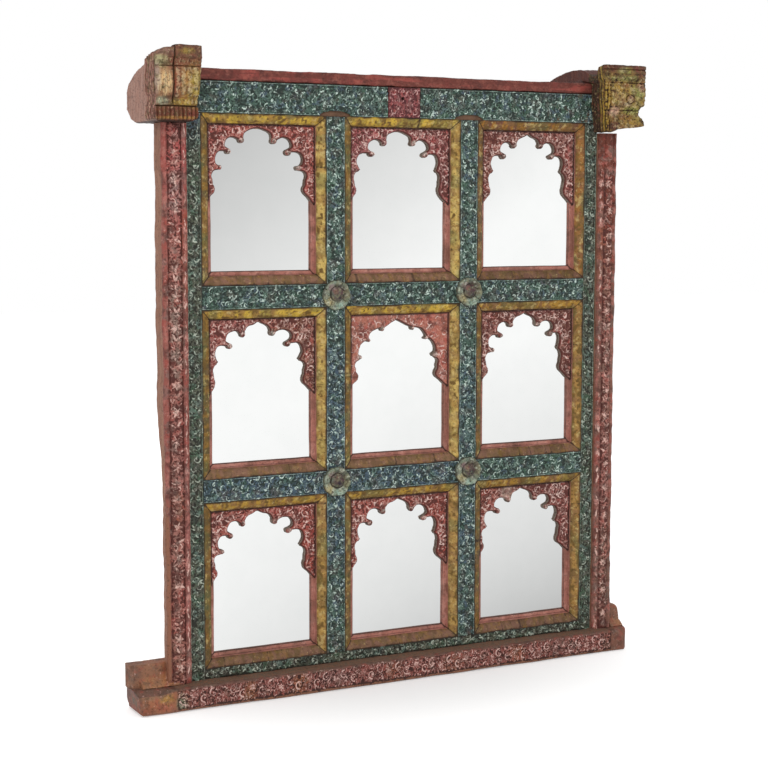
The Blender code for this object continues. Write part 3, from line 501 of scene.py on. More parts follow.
def carved_paint(name, ground, light, wood, paint=None, other=None, tints=(), dirt_and_shade="#2a1d17", light_share=0.9,
                 fleck_share=0.35, dirt_share=0.5, wear_bias=0.0, side_wood=None):
    """Old lean paint on carved hardwood, rubbed on the high parts and dark in the hollows.

    The paint is two colours that share the piece out by its zone, or the piece's own coat where
    none is given. Coats of other colours, the tints, show through in spots. The grooves hold the
    dark ground and dirt, and the crests carry a paler dry-brushed coat that is left on some of
    them only. Bare wood shows where hands and weather wore the paint, and on the sides. The dark
    colour is laid as dirt, and by the grime mask also as painted shade in joints and corners. Its
    grain of 2.6 mm and flecks of 4.2 mm are coarser than real ones, so that they show.
    """
    material, tree, place = new_material(name)
    mask = {key: add(tree, "Attribute", out="Fac", attribute_name=key) for key in MASKS}
    spots = {k: (3 + k, size, 3.0, 0.6) for k, (code, size, share) in enumerate(tints)}
    mask.update(grains(tree, place, {
        "grain": (0, 0.0026, 3.0, 0.6), "fleck": (1, 0.0042, 2.0, 0.5), "left": (2, 0.011, 2.0, 0.5),
        "blotch": (0, 0.02, 4.0, 0.6), "patch": (0, 0.11, 3.0, 0.6), **spots}))
    relief, grain, fleck, blotch = (mask[key] for key in ("relief", "grain", "fleck", "blotch"))
    if paint:
        second = (mask["zone"], [(mask["patch"], 1.0)], 0.75, 1.25, 1.0, linear(other))
        coat = layered(tree, linear(paint), [second])
    else:
        coat = add(tree, "Attribute", out="Color", attribute_name="coat")
    coat = layered(tree, coat, [(mask[k], (), 0.50, 0.62, share, linear(code))
                                for k, (code, size, share) in enumerate(tints)])
    brushed = add(tree, "MapRange", (mask["left"], 0.38, 0.52, 0.25 * light_share, light_share),
                  interpolation_type="SMOOTHSTEP")
    tone = layered(tree, linear(ground), [
        (relief, [(grain, 0.5)], 0.25, 0.57, 1.0, coat),
        (relief, [(grain, 0.5), (fleck, 0.5)], 1.05, 1.35, brushed, linear(light)),
        (fleck, [(relief, 0.12)], 0.70, 0.78, fleck_share, linear(light)),
        (mask["wear"], [(blotch, 0.9), (grain, 0.7)], 1.22 - wear_bias, 1.42 - wear_bias, 1.0, linear(wood))])
    if side_wood:
        along = add(tree, "Mapping", {"Vector": place, "Scale": (1, 1, 0.08)})
        streak = grains(tree, along, {"streak": (0, 0.005, 4.0, 0.6)})["streak"]
        plain = layered(tree, linear(side_wood), [(streak, (), 0.35, 0.7, 1.0, linear(wood)),
                                                  (blotch, (), 0.55, 0.75, 0.4, linear(dirt_and_shade))])
        tone = layered(tree, tone, [(mask["side"], [(blotch, 0.6)], 0.8, 1.1, 1.0, plain)])
    # Dirt, and painted shade where the grime mask marks joints and corners
    tone = layered(tree, tone, [(mask["grime_and_shade"], [(blotch, 0.6)], 0.6, 1.1, 0.85, linear(dirt_and_shade)),
                                (fleck, [(relief, -0.1)], 0.38, 0.28, dirt_share, linear(dirt_and_shade))])
    roughness = add(tree, "MapRange", (grain, 0.3, 0.7, 0.45, 0.72), interpolation_type="SMOOTHSTEP")
    height = add(tree, "Math", (grain, fleck), operation="ADD")
    shaded(tree, height, roughness, tone, **{"Specular IOR Level": 0.35})
    return material


def sawn_wood(name, pale, dark, plank=0):
    """Plain sawn softwood: long grain along x, 4 mm apart, with darker streaks and weathered
    patches. Where planks of a given width meet, each has its own shade and the joints are open."""
    material, tree, place = new_material(name)
    along = add(tree, "Mapping", {"Vector": place, "Scale": (0.06, 1, 1)})
    mask = grains(tree, along, {"fibre": (0, 0.004, 5.0, 0.7), "streak": (0, 0.020, 3.0, 0.6)})
    mask.update(grains(tree, place, {"patch": (0, 0.05, 4.0, 0.6)}))
    tone = layered(tree, linear(dark), [
        (mask["fibre"], (), 0.3, 0.7, 1.0, linear(pale)), (mask["streak"], (), 0.35, 0.7, 0.5, linear(dark)),
        (mask["patch"], (), 0.4, 0.75, 0.45, linear(dark))])
    if plank:
        height = add(tree, "Math", (add(tree, "SeparateXYZ", (place,), "Z"), plank), operation="DIVIDE")
        shade = worked(tree, height, ("FLOOR", 0), ("MULTIPLY", 7.3), ("SINE", 0), ("MULTIPLY", 9.1),
                       ("FRACT", 0), ("MULTIPLY", 0.5))
        tone = add(tree, "Mix", {0: shade, 6: tone, 7: linear(dark)}, 2, data_type="RGBA")
        joint = worked(tree, height, ("FRACT", 0), ("SUBTRACT", 0.5), ("ABSOLUTE", 0))
        open_joint = (joint, (), 0.5 - 0.004 / plank, 0.5 - 0.001 / plank, 1.0, linear("#2a1c12"))
        tone = layered(tree, tone, [open_joint])
    roughness = add(tree, "MapRange", (mask["fibre"], 0.2, 0.8, 0.82, 0.62), interpolation_type="SMOOTHSTEP")
    height = add(tree, "Math", (mask["fibre"], mask["streak"]), operation="ADD")
    shaded(tree, height, roughness, tone, **{"Specular IOR Level": 0.3})
    return material


def silvered_glass():
    """Float glass silvered on its back: a bright, slightly soft mirror with a faint haze."""
    material, tree, place = new_material("silvered_float_glass")
    haze = grains(tree, place, {"haze": (0, 0.06, 2.0, 0.6)})["haze"]
    tone = layered(tree, linear("#fbfcfb"), [(haze, (), 0.2, 0.8, 0.3, linear("#f2f4f3"))])
    roughness = add(tree, "MapRange", (haze, 0.3, 0.7, 0.015, 0.04), interpolation_type="SMOOTHSTEP")
    shaded(tree, None, roughness, tone, Metallic=1.0)
    return material


# Coats that show through the paint in spots: colour, size of the spots and share
TEALS = (("#3e5c46", 0.016, 0.7), ("#4c5a6e", 0.019, 0.7), ("#57504a", 0.022, 0.65), ("#242f2d", 0.030, 0.6),
         ("#7d958a", 0.013, 0.4))
REDS = (("#a2473d", 0.017, 0.6), ("#7d6a62", 0.021, 0.55), ("#b9786c", 0.015, 0.6), ("#4c2a24", 0.026, 0.6))
CAPITAL_TINTS = (("#7d4a36", 0.010, 0.5), ("#4a3022", 0.013, 0.6), ("#5d5a34", 0.009, 0.45))

# Lime and oil paint on carved hardwood: a dark teal that turns blue, with pale worn crests
GREEN = carved_paint("carved_teal_paint", "#28332e", "#cddfd4", "#7a5a45", "#486055", "#475b69", TEALS,
                     light_share=0.95, side_wood="#5e4636")
# The same paint, browned by hands and weather beside the posts and on the bottom rail
DARK_GREEN = carved_paint("carved_dark_stile_paint", "#2b2b24", "#c0c8b8", "#6f5442", "#555849", "#465561",
                          TEALS[:1] + TEALS[2:], wear_bias=0.06, side_wood="#5e4636")
# Red lime paint on the tablet, denser and cooler than on the posts
CRIMSON = carved_paint("carved_crimson_paint", "#54282a", "#dfb8b2", "#8f5a41", "#8a4748", "#7a4a44",
                       (("#a24a42", 0.012, 0.6), ("#7d5f5a", 0.014, 0.5), ("#5a302e", 0.02, 0.5)),
                       side_wood="#6a4034")
# Red lime paint on the posts, patched and rubbed to pinkish wood
POST_RED = carved_paint("carved_post_paint", "#562c26", "#e4bdb0", "#8f5f49", tints=REDS, fleck_share=0.3,
                        side_wood="#a87a64")
# The sill's red, darkest of all in its hollows, over grey weathered wood
SILL_RED = carved_paint("carved_sill_paint", "#3f231d", "#e2bcb2", "#8d6049", side_wood="#6d5d50",
                        tints=(("#a4493d", 0.015, 0.35), ("#6c5a4c", 0.02, 0.45), ("#3c2622", 0.028, 0.4)))
# The arches' red with pale pink crests and grey sawn edges
PALE_RED = carved_paint("carved_arch_paint", "#5c2e28", "#e4c4ba", "#6f5a4c", dirt_and_shade="#332019",
                        light_share=0.95, fleck_share=0.25, side_wood="#94867a",
                        tints=(("#ac4540", 0.014, 0.5), ("#8a6a62", 0.018, 0.5), ("#c88c80", 0.011, 0.5),
                               ("#4f2722", 0.020, 0.6)))
# Ochre distemper on the bevels, mottled from bright yellow to brown
OCHRE = carved_paint("ochre_moulding_paint", "#6f5426", "#dcc684", "#7d5336",
                     light_share=0.4, fleck_share=0.25, dirt_share=0.4,
                     tints=(("#8f6a2a", 0.014, 0.4), ("#8a6a4a", 0.022, 0.4), ("#5f5228", 0.032, 0.4)))
# Pink primer left in the sheltered step and on the lip
PINK = carved_paint("pink_reveal_paint", "#8a5248", "#dcb5aa", "#8a5a48", "#b67a6c", "#96644f",
                    (("#cf9a8c", 0.018, 0.5), ("#8f5a4a", 0.024, 0.55), ("#7a5648", 0.05, 0.5)),
                    light_share=0.35, fleck_share=0.2, dirt_share=0.35)
# Plain maroon oil paint on the cap, streaked along the strip
MAROON = carved_paint("maroon_cap_paint", "#6a332c", "#ab6f63", "#6f4a3a", "#994a41", "#6f382f",
                      (("#7d3a34", 0.03, 0.6), ("#4f2a26", 0.05, 0.6), ("#9a5a4c", 0.02, 0.4)),
                      light_share=0.3, fleck_share=0.12, dirt_share=0.4)
# Cream lime paint gone grey-green on the rosettes
CREAM = carved_paint("cream_rosette_paint", "#34352d", "#d2d6c2", "#8b6a4b", light_share=0.5, dirt_share=0.6,
                     tints=(("#5d6a58", 0.008, 0.6), ("#5c4f46", 0.010, 0.6), ("#8f8a6a", 0.007, 0.5)))
# Yellow over red on the capitals, each with its own coats, dirty in its cuts
LEFT_COATS = carved_paint("left_capital_coats", "#46301f", "#e2cfa4", "#a07464", tints=CAPITAL_TINTS,
                          light_share=0.35, dirt_share=0.55, side_wood="#b78f80")
# The right capital's dark side wood is painted shade on its tail, behind the block.
RIGHT_COATS = carved_paint("right_capital_coats", "#3a2619", "#dcc898", "#6f4034", tints=CAPITAL_TINTS,
                           light_share=0.35, dirt_share=0.6, side_wood="#57302a")
# Raw sawn boards on the back, and glass
BOARD = sawn_wood("sawn_back_board", "#a98a66", "#7a5d42", plank=0.163)
BATTEN = sawn_wood("sawn_batten", "#9a7752", "#6a4c34")
GLASS = silvered_glass()


def washed(colours, code, share):
    """Colours with another laid over them by a share."""
    return colours * (1 - share) + np.array(linear(code)) * share


def daubed(points, base, spots, seed):
    """Colours of a surface that coats of paint cover in spots. Each spot is a middle and two
    radii, and its share is exp(-d^4) of the distance in radii, made ragged by noise."""
    colour = np.tile(np.array(linear(base)), (len(points), 1))
    ragged = 0.5 * (noise_at(points[:, 0], 0, points[:, 1], 0.007, seed) - 0.5)
    for u, v, ru, rv, code, strength in spots:
        d = ((points[:, 0] - u) / ru) ** 2 + ((points[:, 1] - v) / rv) ** 2 + ragged
        colour = washed(colour, code, strength * np.exp(-np.clip(d, 0, None) ** 2)[:, None])
    return colour


# Green bars, the tablet and the cap
def edge_grime_and_shade(c, width=0.0015, strength=0.7):
    """Dirt that gathers along both edges of a bar, and painted shade in the joints there."""
    return strength * bell(np.minimum(c.v, c.width - c.v), 0, width)


def leafy(seed, length, width, lanes, margin, pitch, inset=0, half=0.0011, heights=(0.8, 0.8)):
    """A carving of running vines, with a raised fillet along each edge where an inset is given."""
    c = Carving(length, width)
    vine(c, np.random.default_rng(seed), lanes, margin, pitch)
    if inset:
        c.line(inset, half, heights[0])
        c.line(width - inset, half, heights[1])
    return c


def make_muntin(index):
    """An upright between two columns of panes. The first is blue from 0.12 to 0.66 of its height,
    the second below 0.66, and both are worn at the foot."""
    c = leafy(40 + index, GRID_TOP - GRID_BOTTOM - 2 * FIT_GAP, MUNTIN_WIDTH, 2, 0.0040, 0.0200, 0.0022,
              0.0010)
    height = c.u / c.length
    if index == 0:
        zone = 0.7 * smooth(0.66, 0.52, height) * smooth(0.12, 0.2, height) + 0.35 * smooth(0.2, 0.0, height)
    else:
        zone = 0.45 * smooth(0.66, 0.5, height)
    wear = np.maximum(0.4 * smooth(0.03, 0.012, c.u), 0.3 * noise_at(c.u, 0, 0, 0.08, 5 + index))
    right = pane_left(index + 1)
    name = "muntin_%d" % (index + 1)
    bar("carved_" + name, c, "z", GRID_BOTTOM + FIT_GAP, (right - MUNTIN_WIDTH, right), 0.0, MEMBER_BACK,
        GREEN, [name], zone=zone[:, None], wear=wear[:, None], grime_and_shade=edge_grime_and_shade(c),
        seed=60 + index)


def make_stile(name, side):
    """A narrow upright beside the grid. The left one turns blue over the top tenth of its height."""
    c = leafy(50 + side, GRID_TOP - LEDGE_TOP - 2 * FIT_GAP, STILE_WIDTH, 1, 0.004, 0.0180, 0.002, 0.001,
              (0.7, 0.9))
    height = c.u / c.length
    zone = 0.75 * smooth(0.9, 1.0, height) if side < 0 else 0.1 * height
    bar("carved_" + name, c, "z", LEDGE_TOP + FIT_GAP, (side * GRID_HALF, side * STILE_OUTER), 0.0,
        MEMBER_BACK, DARK_GREEN, [name], zone=zone[:, None], wear=0.12, grime_and_shade=edge_grime_and_shade(c),
        seed=70 + side)


def make_rail(row, column):
    """A cross bar under a pane. The first two of the lower row are mostly blue."""
    index = 3 * row + column
    c = leafy(80 + index, PANE_WIDTH - 2 * FIT_GAP, RAIL_HEIGHT, 2, 0.0045, 0.0210, 0.0025)
    blue = {(1, 0): 0.7, (1, 1): 0.7, (0, 0): 0.25, (1, 2): 0.2}.get((row, column), 0.1)
    top = pane_bottom(row)
    name = "rail_%d_%d" % (row + 1, column + 1)
    bar("carved_" + name, c, "x", pane_left(column) + FIT_GAP, (top - RAIL_HEIGHT, top), 0.0, MEMBER_BACK,
        GREEN, [name], zone=blue, wear=0.15, grime_and_shade=edge_grime_and_shade(c), seed=90 + index)


def make_bottom_rail():
    """The low rail on the ledge, the most worn of the green bars."""
    c = leafy(101, 2 * GRID_HALF, GRID_BOTTOM - LEDGE_TOP - FIT_GAP, 1, 0.003, 0.0130)
    bar("carved_bottom_rail", c, "x", -GRID_HALF, (LEDGE_TOP + FIT_GAP, GRID_BOTTOM), 0.0, MEMBER_BACK,
        DARK_GREEN, ["bottom_rail"], zone=0.15, wear=0.26, grime_and_shade=edge_grime_and_shade(c), seed=102)


def make_lintel():
    """The carved head, with a flat pocket for the tablet and a recess over each muntin, where
    sqrt((x / 35 mm)^2 + (z / 11 mm)^2) is below 1."""
    c = leafy(111, 2 * STILE_OUTER, LINTEL_TOP - GRID_TOP, 3, 0.0045, 0.0225, 0.0025)
    x = c.u - STILE_OUTER
    pocket = np.abs(x) < TABLET_WIDTH / 2 + 0.0004
    arches = np.zeros_like(c.h)
    for index in range(PANE_COLUMNS - 1):
        middle = pane_left(index + 1) - MUNTIN_WIDTH / 2
        reach = np.hypot(((x - middle) / 0.035)[:, None], c.v / 0.011)
        arches = np.maximum(arches, smooth(1.06, 0.94, reach))
    c.h[pocket] = 0.4
    c.h *= 1 - arches
    worn = (0.1 + 0.25 * smooth(0.25, 0.4, x))[:, None]
    bar("carved_lintel", c, "x", -STILE_OUTER, (GRID_TOP, LINTEL_TOP),
        POCKET_DEPTH * pocket[:, None] + 0.005 * arches, MEMBER_BACK, GREEN, ["lintel"],
        zone=(0.12 * smooth(-0.1, 0.3, x))[:, None], wear=np.maximum(worn, arches),
        grime_and_shade=np.maximum(edge_grime_and_shade(c), 0.42 * arches), seed=112)


def make_tablet():
    """A small block of worn leaves round a nail hole."""
    rng = np.random.default_rng(115)
    c = Carving(TABLET_WIDTH, LINTEL_HEIGHT - 2 * TABLET_MARGIN)
    for turn in range(7):
        angle = turn * 0.9 + 0.2
        c.leaf(0.036 + 0.006 * math.cos(angle), 0.036 + 0.006 * math.sin(angle), rng.uniform(0.014, 0.021),
               0.0032, angle, rng.uniform(0.5, 0.9))
    for u, v in ((0.013, 0.013), (0.061, 0.013), (0.013, 0.052), (0.061, 0.052)):
        c.arc(u, v, 0.0065, rng.uniform(0, 6.28), 4.2, 0.0018, 0.85)
    fill_ground(c, rng, (0.002, 0.072), (0.002, 0.059), 0.0046, (0.005, 0.010), 0.7)
    hole = np.hypot((c.u - 0.034)[:, None], c.v - 0.039)
    bar("carved_tablet", c, "x", -TABLET_WIDTH / 2, (GRID_TOP + TABLET_MARGIN, LINTEL_TOP - TABLET_MARGIN),
        -0.002 + 0.005 * smooth(0.0032, 0.0024, hole), POCKET_DEPTH, CRIMSON, ["lintel_tablet"],
        wear=0.1, grime_and_shade=np.maximum(edge_grime_and_shade(c, 0.002, 0.6), smooth(0.0042, 0.003, hole)), seed=116,
        side_rows=2)


def make_cap():
    """The plain strip on the lintel, with a groove along it and worn coats: its noise is drawn
    out six times along the strip."""
    c = Carving(2 * STILE_OUTER, CAP_TOP - LINTEL_TOP - FIT_GAP, 0.0018)
    streaks = [noise_at(c.u[:, None], 6 * c.v, 0, size, seed)
               for size, seed in ((0.011, 124), (0.004, 125), (0.045, 122))]
    c.h = 0.1 + 0.6 * streaks[0] + 0.25 * streaks[1] - 0.45 * bell(c.v, 0.0150, 0.0012)
    bar("worn_lintel_cap", c, "x", -STILE_OUTER, (LINTEL_TOP + FIT_GAP, CAP_TOP - 0.0007), 0.0008, FRAME_BACK,
        MAROON, ["lintel_cap"], zone=1.7 * streaks[2], wear=0.28,
        grime_and_shade=edge_grime_and_shade(c, 0.002, 0.5), rough=0.0009, seed=121, side_rows=12, edge_round=0.003,
        depth=0.0016)


# Pilasters
def pilaster_front(v, width):
    """Depth across a pilaster from its outer edge: a half-round bead, a groove, the carved
    field, a groove and a strip of petals that falls towards the grid."""
    inner = width - v
    d = np.where((v < FIELD_START) | ((inner >= STRIP_WIDTH) & (inner < FIELD_END)), 0.0018, 0)
    d = np.where(v < 2 * BEAD_RADIUS, BEAD_RADIUS * (1 - dome(v / BEAD_RADIUS - 1)), d)
    return np.where(inner < STRIP_WIDTH, 0.005 * (1 - inner / STRIP_WIDTH), d)


def make_pilaster(name, side, outer, base, spots):
    """A carved post: a plain rubbed bead, a field of worn flowers in leaves, and a strip of
    pointed petals along the grid."""
    rng = np.random.default_rng(131 + side)
    inner = PILASTER_INNER
    width = outer - inner
    c = Carving(CAPITAL_BOTTOM - LEDGE_TOP - 2 * FIT_GAP, width)
    field = (FIELD_START, width - FIELD_END)
    middle = sum(field) / 2
    half = (field[1] - field[0]) / 2
    for k in range(int(c.length / FLOWER_PITCH)):
        u, v = (k + 0.6) * FLOWER_PITCH + rng.normal(0, 0.003), middle + rng.normal(0, 0.0012)
        count = int(rng.integers(5, 8))
        for turn in range(count):
            c.leaf(u, v, half * rng.uniform(0.8, 1.15), rng.uniform(0.0026, 0.0038),
                   turn * 6.283 / count + 0.3 * k, rng.uniform(0.7, 1))
        c.dot(u, v, 0.0026, 0.9)
        for side_way in (-1, 1):
            c.arc(u + 0.019, v + side_way * half * 0.35, half * rng.uniform(0.4, 0.6), rng.uniform(0, 6.28),
                  side_way * rng.uniform(2.5, 4.6), 0.0019, rng.uniform(0.6, 0.9))
            c.leaf(u + 0.028, v, rng.uniform(0.012, 0.019), rng.uniform(0.0024, 0.0034),
                   side_way * rng.uniform(0.3, 1.2), rng.uniform(0.7, 1))
    fill_ground(c, rng, (0, c.length), field, 0.0050, (0.007, 0.013), 0.6)
    for k in range(int(c.length / PETAL_PITCH) + 1):
        way = 1 if k % 2 else -1
        c.leaf((k + 0.2) * PETAL_PITCH + rng.normal(0, 0.0015), width - STRIP_WIDTH / 2 - way * 0.0022,
               rng.uniform(0.013, 0.020), rng.uniform(0.0022, 0.0034), way * rng.uniform(0.1, 0.35),
               rng.uniform(0.4, 0.95), 0)
    c.raise_to((slice(None), c.v > width - 0.0125), 0.2)
    knots = rng.uniform(0.02, c.length, 14 if side < 0 else 8) ** 1.5 / c.length ** 0.5
    for u in knots:
        c.petal(u - 0.006, width - STRIP_WIDTH / 2, 0.014, 0.0048, rng.normal(0, 0.2), 1.0)
    spots = spots + tuple((u, width - STRIP_WIDTH / 2, 0.008, 0.0055, "#c58a80", 0.8) for u in knots)
    bead = 0.42 + 0.25 * (noise_at(c.u, 0, 0, 0.02, 133 + side) - 0.5)
    c.raise_to((slice(None), c.v < 0.0105), bead[:, None])
    wear = 0.14 + 0.75 * smooth(0.45, 0.25, c.u)[:, None] * smooth(0.0085, 0.006, c.v) * (side < 0)
    coat = daubed(c.places(), base, spots, 145 + side)
    grooves = bell(c.v, 0.0122, 0.0008) + bell(c.v, width - 0.0145, 0.0008)
    grime_and_shade = np.maximum(edge_grime_and_shade(c, 0.001, 0.35), 0.35 * grooves)
    top = HEWN_TOP - LEDGE_TOP - FIT_GAP
    hewn = (side < 0) * HEWN_DEPTH * (1 - np.clip((c.u - top) / HEWN_RUN, 0, 1))

    def shape(points):
        """Wear the outer corner back unevenly along the post."""
        outward = smooth(0.6, 1.0, (side * points[:, 0] - inner) / width)
        place = points * (0, 0, 1)
        worn = 0.0022 * noise(place, 0.045, 147 + side) + 0.0012 * noise(place, 0.012, 149 + side)
        points[:, 0] -= side * outward * worn
        return points

    c.flatten((0.75 * smooth(0.90, 0.96, c.u / c.length) * (side > 0))[:, None], 0.4)
    bar("carved_" + name, c, "z", LEDGE_TOP + FIT_GAP, (side * outer, side * inner),
        PILASTER_FRONT + pilaster_front(c.v, width), FRAME_BACK - hewn, POST_RED, [name],
        wear=wear, grime_and_shade=grime_and_shade, seed=141 + side, side_rows=9, rough=0.0006, depth=0.0024, shape=shape,
        coat=coat)


# Sill and horns
def rounded(a, b, radius):
    """Pull the corner of two distances a and b, where both are less than a radius, back onto a
    quarter round."""
    radius = np.broadcast_to(radius, a.shape)
    d = np.hypot(radius - a, radius - b)
    pull = np.where((a < radius) & (b < radius) & (d > radius), radius / np.maximum(d, 1e-9), 1)
    return radius - (radius - a) * pull, radius - (radius - b) * pull


def make_sill():
    """The sill beam: a frieze of flowers and scrolls between plain hewn ends."""
    rng = np.random.default_rng(151)
    c = Carving(SILL_RIGHT - SILL_LEFT, LEDGE_TOP)
    first, last = PLAIN_LEFT, c.length - PLAIN_RIGHT
    for k in range(int((last - first) / FRIEZE_PITCH)):
        u = first + (k + 0.6) * FRIEZE_PITCH + rng.normal(0, 0.001)
        v = 0.027 + (0.005 if k % 2 else -0.003)
        if k % 3 == 1:
            for turn in range(6):
                c.petal(u, v, 0.0105, 0.0042, turn * 1.047 + 0.3 * k, 0.95)
            c.dot(u, v, 0.0025, 1)
        else:
            side = 1 if k % 2 else -1
            c.arc(u, v, 0.0095, side * 1.4, side * 5.0, 0.0022, 1, 0.6)
            c.dot(u, v, 0.0024, 0.9)
        for v0, turn in ((0.0435, -math.pi / 2), (0.0095, math.pi / 2)):
            c.petal(u + 0.010, v0, 0.011, 0.0058, turn + rng.normal(0, 0.15), 0.85)
    fill_ground(c, rng, (first, last), (0.009, 0.045), 0.0042)
    c.raise_to((slice(None), c.v > 0.0435), 0.3)
    plain = np.maximum(smooth(first, first - 0.006, c.u), smooth(last, last + 0.006, c.u))[:, None]
    c.flatten(plain, 0.4)
    hewn = [rng.uniform(0.002, first - 0.006, 26), rng.uniform(last + 0.006, c.length - 0.002, 16)]
    for u in np.concatenate(hewn):
        c.leaf(u, rng.uniform(0.002, 0.020), rng.uniform(0.012, 0.026), rng.uniform(0.0020, 0.0036),
               math.pi / 2 + rng.normal(0, 0.15), rng.uniform(0.46, 0.60), 0)
    wear = np.maximum(0.30 * plain, 0.12 + 0.5 * smooth(0.010, 0.004, c.v))
    coat = daubed(c.places(), "#8c5148", (
        (0.040, 0.024, 0.055, 0.040, "#a2694a", 0.97), (0.060, 0.030, 0.016, 0.011, "#ab8440", 0.75),
        (0.018, 0.010, 0.020, 0.010, "#87523c", 0.8), (0.030, 0.040, 0.030, 0.008, "#8f7058", 0.8),
        (0.091, 0.020, 0.011, 0.018, "#6d8468", 0.95), (0.175, 0.034, 0.010, 0.008, "#3f2826", 0.85),
        (0.235, 0.022, 0.016, 0.030, "#96603c", 0.7), (0.345, 0.024, 0.018, 0.030, "#a0643c", 0.75),
        (0.430, 0.030, 0.040, 0.016, "#7c5a56", 0.6), (0.560, 0.024, 0.020, 0.030, "#96583e", 0.7),
        (0.700, 0.020, 0.030, 0.030, "#8f6048", 0.6), (0.860, 0.024, 0.020, 0.030, "#9a5e3e", 0.7),
        (0.980, 0.030, 0.030, 0.018, "#7c5a50", 0.6), (0.600, 0.0480, 2.0, 0.0045, "#6b5045", 0.95),
        (1.135, 0.024, 0.050, 0.060, "#7c5443", 0.95)), 153)
    grime_and_shade = np.maximum(0.30 * smooth(0.010, 0.0, c.v), 0.10 * plain)

    def shape(points):
        """Round off the ends' tops, outer corners and undersides, ease the foot of the front, and
        run the ends in behind the frame."""
        for end, turn, radius, run in ((SILL_LEFT, 1, 0.022, 0.085), (SILL_RIGHT, -1, 0.020, 0.050)):
            worn = smooth(run, run - 0.035, turn * (points[:, 0] - end))
            y, z = rounded(points[:, 1] - SILL_FRONT, LEDGE_TOP - points[:, 2], 0.030 * worn + 1e-6)
            points[:, 1], points[:, 2] = SILL_FRONT + y, LEDGE_TOP - z
            x, y = rounded(turn * (points[:, 0] - end), points[:, 1] - SILL_FRONT, 0.026)
            points[:, 0], points[:, 1] = end + turn * x, SILL_FRONT + y
            x, z = rounded(turn * (points[:, 0] - end), points[:, 2], radius)
            points[:, 0], points[:, 2] = end + turn * x, z
            behind = np.clip(points[:, 1] - FRAME_BACK, 0, None) * 0.009 / 0.0183
            near = np.clip(1 - np.abs(points[:, 0] - end) / 0.02, 0, 1)
            points[:, 0] += turn * behind * near
        wave = 0.006 + 0.006 * noise(points * (1, 0, 0), 0.06, 155)
        y, z = rounded(points[:, 1] - SILL_FRONT, points[:, 2], wave)
        points[:, 1], points[:, 2] = SILL_FRONT + y, np.maximum(z, 0)
        return points

    bar("carved_sill", c, "x", SILL_LEFT, (0, LEDGE_TOP), SILL_FRONT + 0.0008, HEEL_BACK, SILL_RED,
        ["sill_beam"], wear=wear, grime_and_shade=grime_and_shade, seed=152, side_rows=14, back_rows=6,
        rough=0.0008, edge_round=0.003, shape=shape, coat=coat, bare=1 - 0.85 * plain)


def make_horns():
    """The horns left standing on the sill's ends, gouged upright by an adze."""
    rng = np.random.default_rng(161)
    for name, x0, x1, front in (("left_horn", SILL_LEFT, -LEFT_OUTER + 0.026, 0.0),
                                ("right_horn", RIGHT_OUTER + FIT_GAP, SILL_RIGHT, 0.002)):
        c = Carving(x1 - x0, HORN_HEIGHT)
        c.h += 0.36
        for _ in range(int((x1 - x0) / 0.003)):
            c.leaf(rng.uniform(0.002, c.length - 0.002), rng.uniform(-0.010, 0.020),
                   rng.uniform(0.020, 0.036), rng.uniform(0.0020, 0.0036),
                   math.pi / 2 + rng.normal(0, 0.06), rng.uniform(0.44, 0.66), 0)
        coat = daubed(c.places(), "#94684f", (
            (0.010, 0.030, 0.014, 0.030, "#7d5a4a", 0.8), (0.050, 0.010, 0.040, 0.012, "#a9764f", 0.7),
            (0.075, 0.030, 0.014, 0.030, "#a56840", 0.8)), 163)

        def shape(points, right=(name == "right_horn"), x0=x0, x1=x1, front=front):
            """Let the right horn's top fall to the sill, and round the left horn's outer corner."""
            if right:
                share = (points[:, 0] - x0) / (x1 - x0)
                top = np.interp(share, (0.0, 0.72, 0.86, 0.95, 0.97, 1.0), (1.0, 1.0, 0.75, 0.36, 0.16, 0.0))
                points[:, 2] = np.minimum(points[:, 2], LEDGE_TOP + HORN_HEIGHT * np.maximum(top, 0.02))
            else:
                x, y = rounded(points[:, 0] - x0, points[:, 1] - front, 0.020)
                points[:, 0], points[:, 1] = x0 + x, front + y
            return points

        bar("hewn_" + name, c, "x", x0, (LEDGE_TOP - 0.001, LEDGE_TOP + HORN_HEIGHT - 0.0006),
            front - 0.016 * smooth(0.018, 0.0, c.v), FRAME_BACK, SILL_RED, wear=0.40,
            grime_and_shade=0.10, seed=162, rough=0.0010, edge_round=0.005, side_rows=8, shape=shape, depth=0.0036,
            coat=coat, bare=0.1)


# Mouldings round the panes
# Each side's two ochres where its coat is sound, then where it is tired: the bottom, the right
# side, the top and the left side
SOUND_OCHRES = (("#8c6652", "#75563f"), ("#d6b968", "#bd9850"),
                ("#dcb945", "#b48c3e"), ("#94702e", "#64552e"))
TIRED_OCHRES = (("#775444", "#64492f"), ("#a5763c", "#8f643c"),
                ("#a9792f", "#80553a"), ("#855f30", "#64503a"))


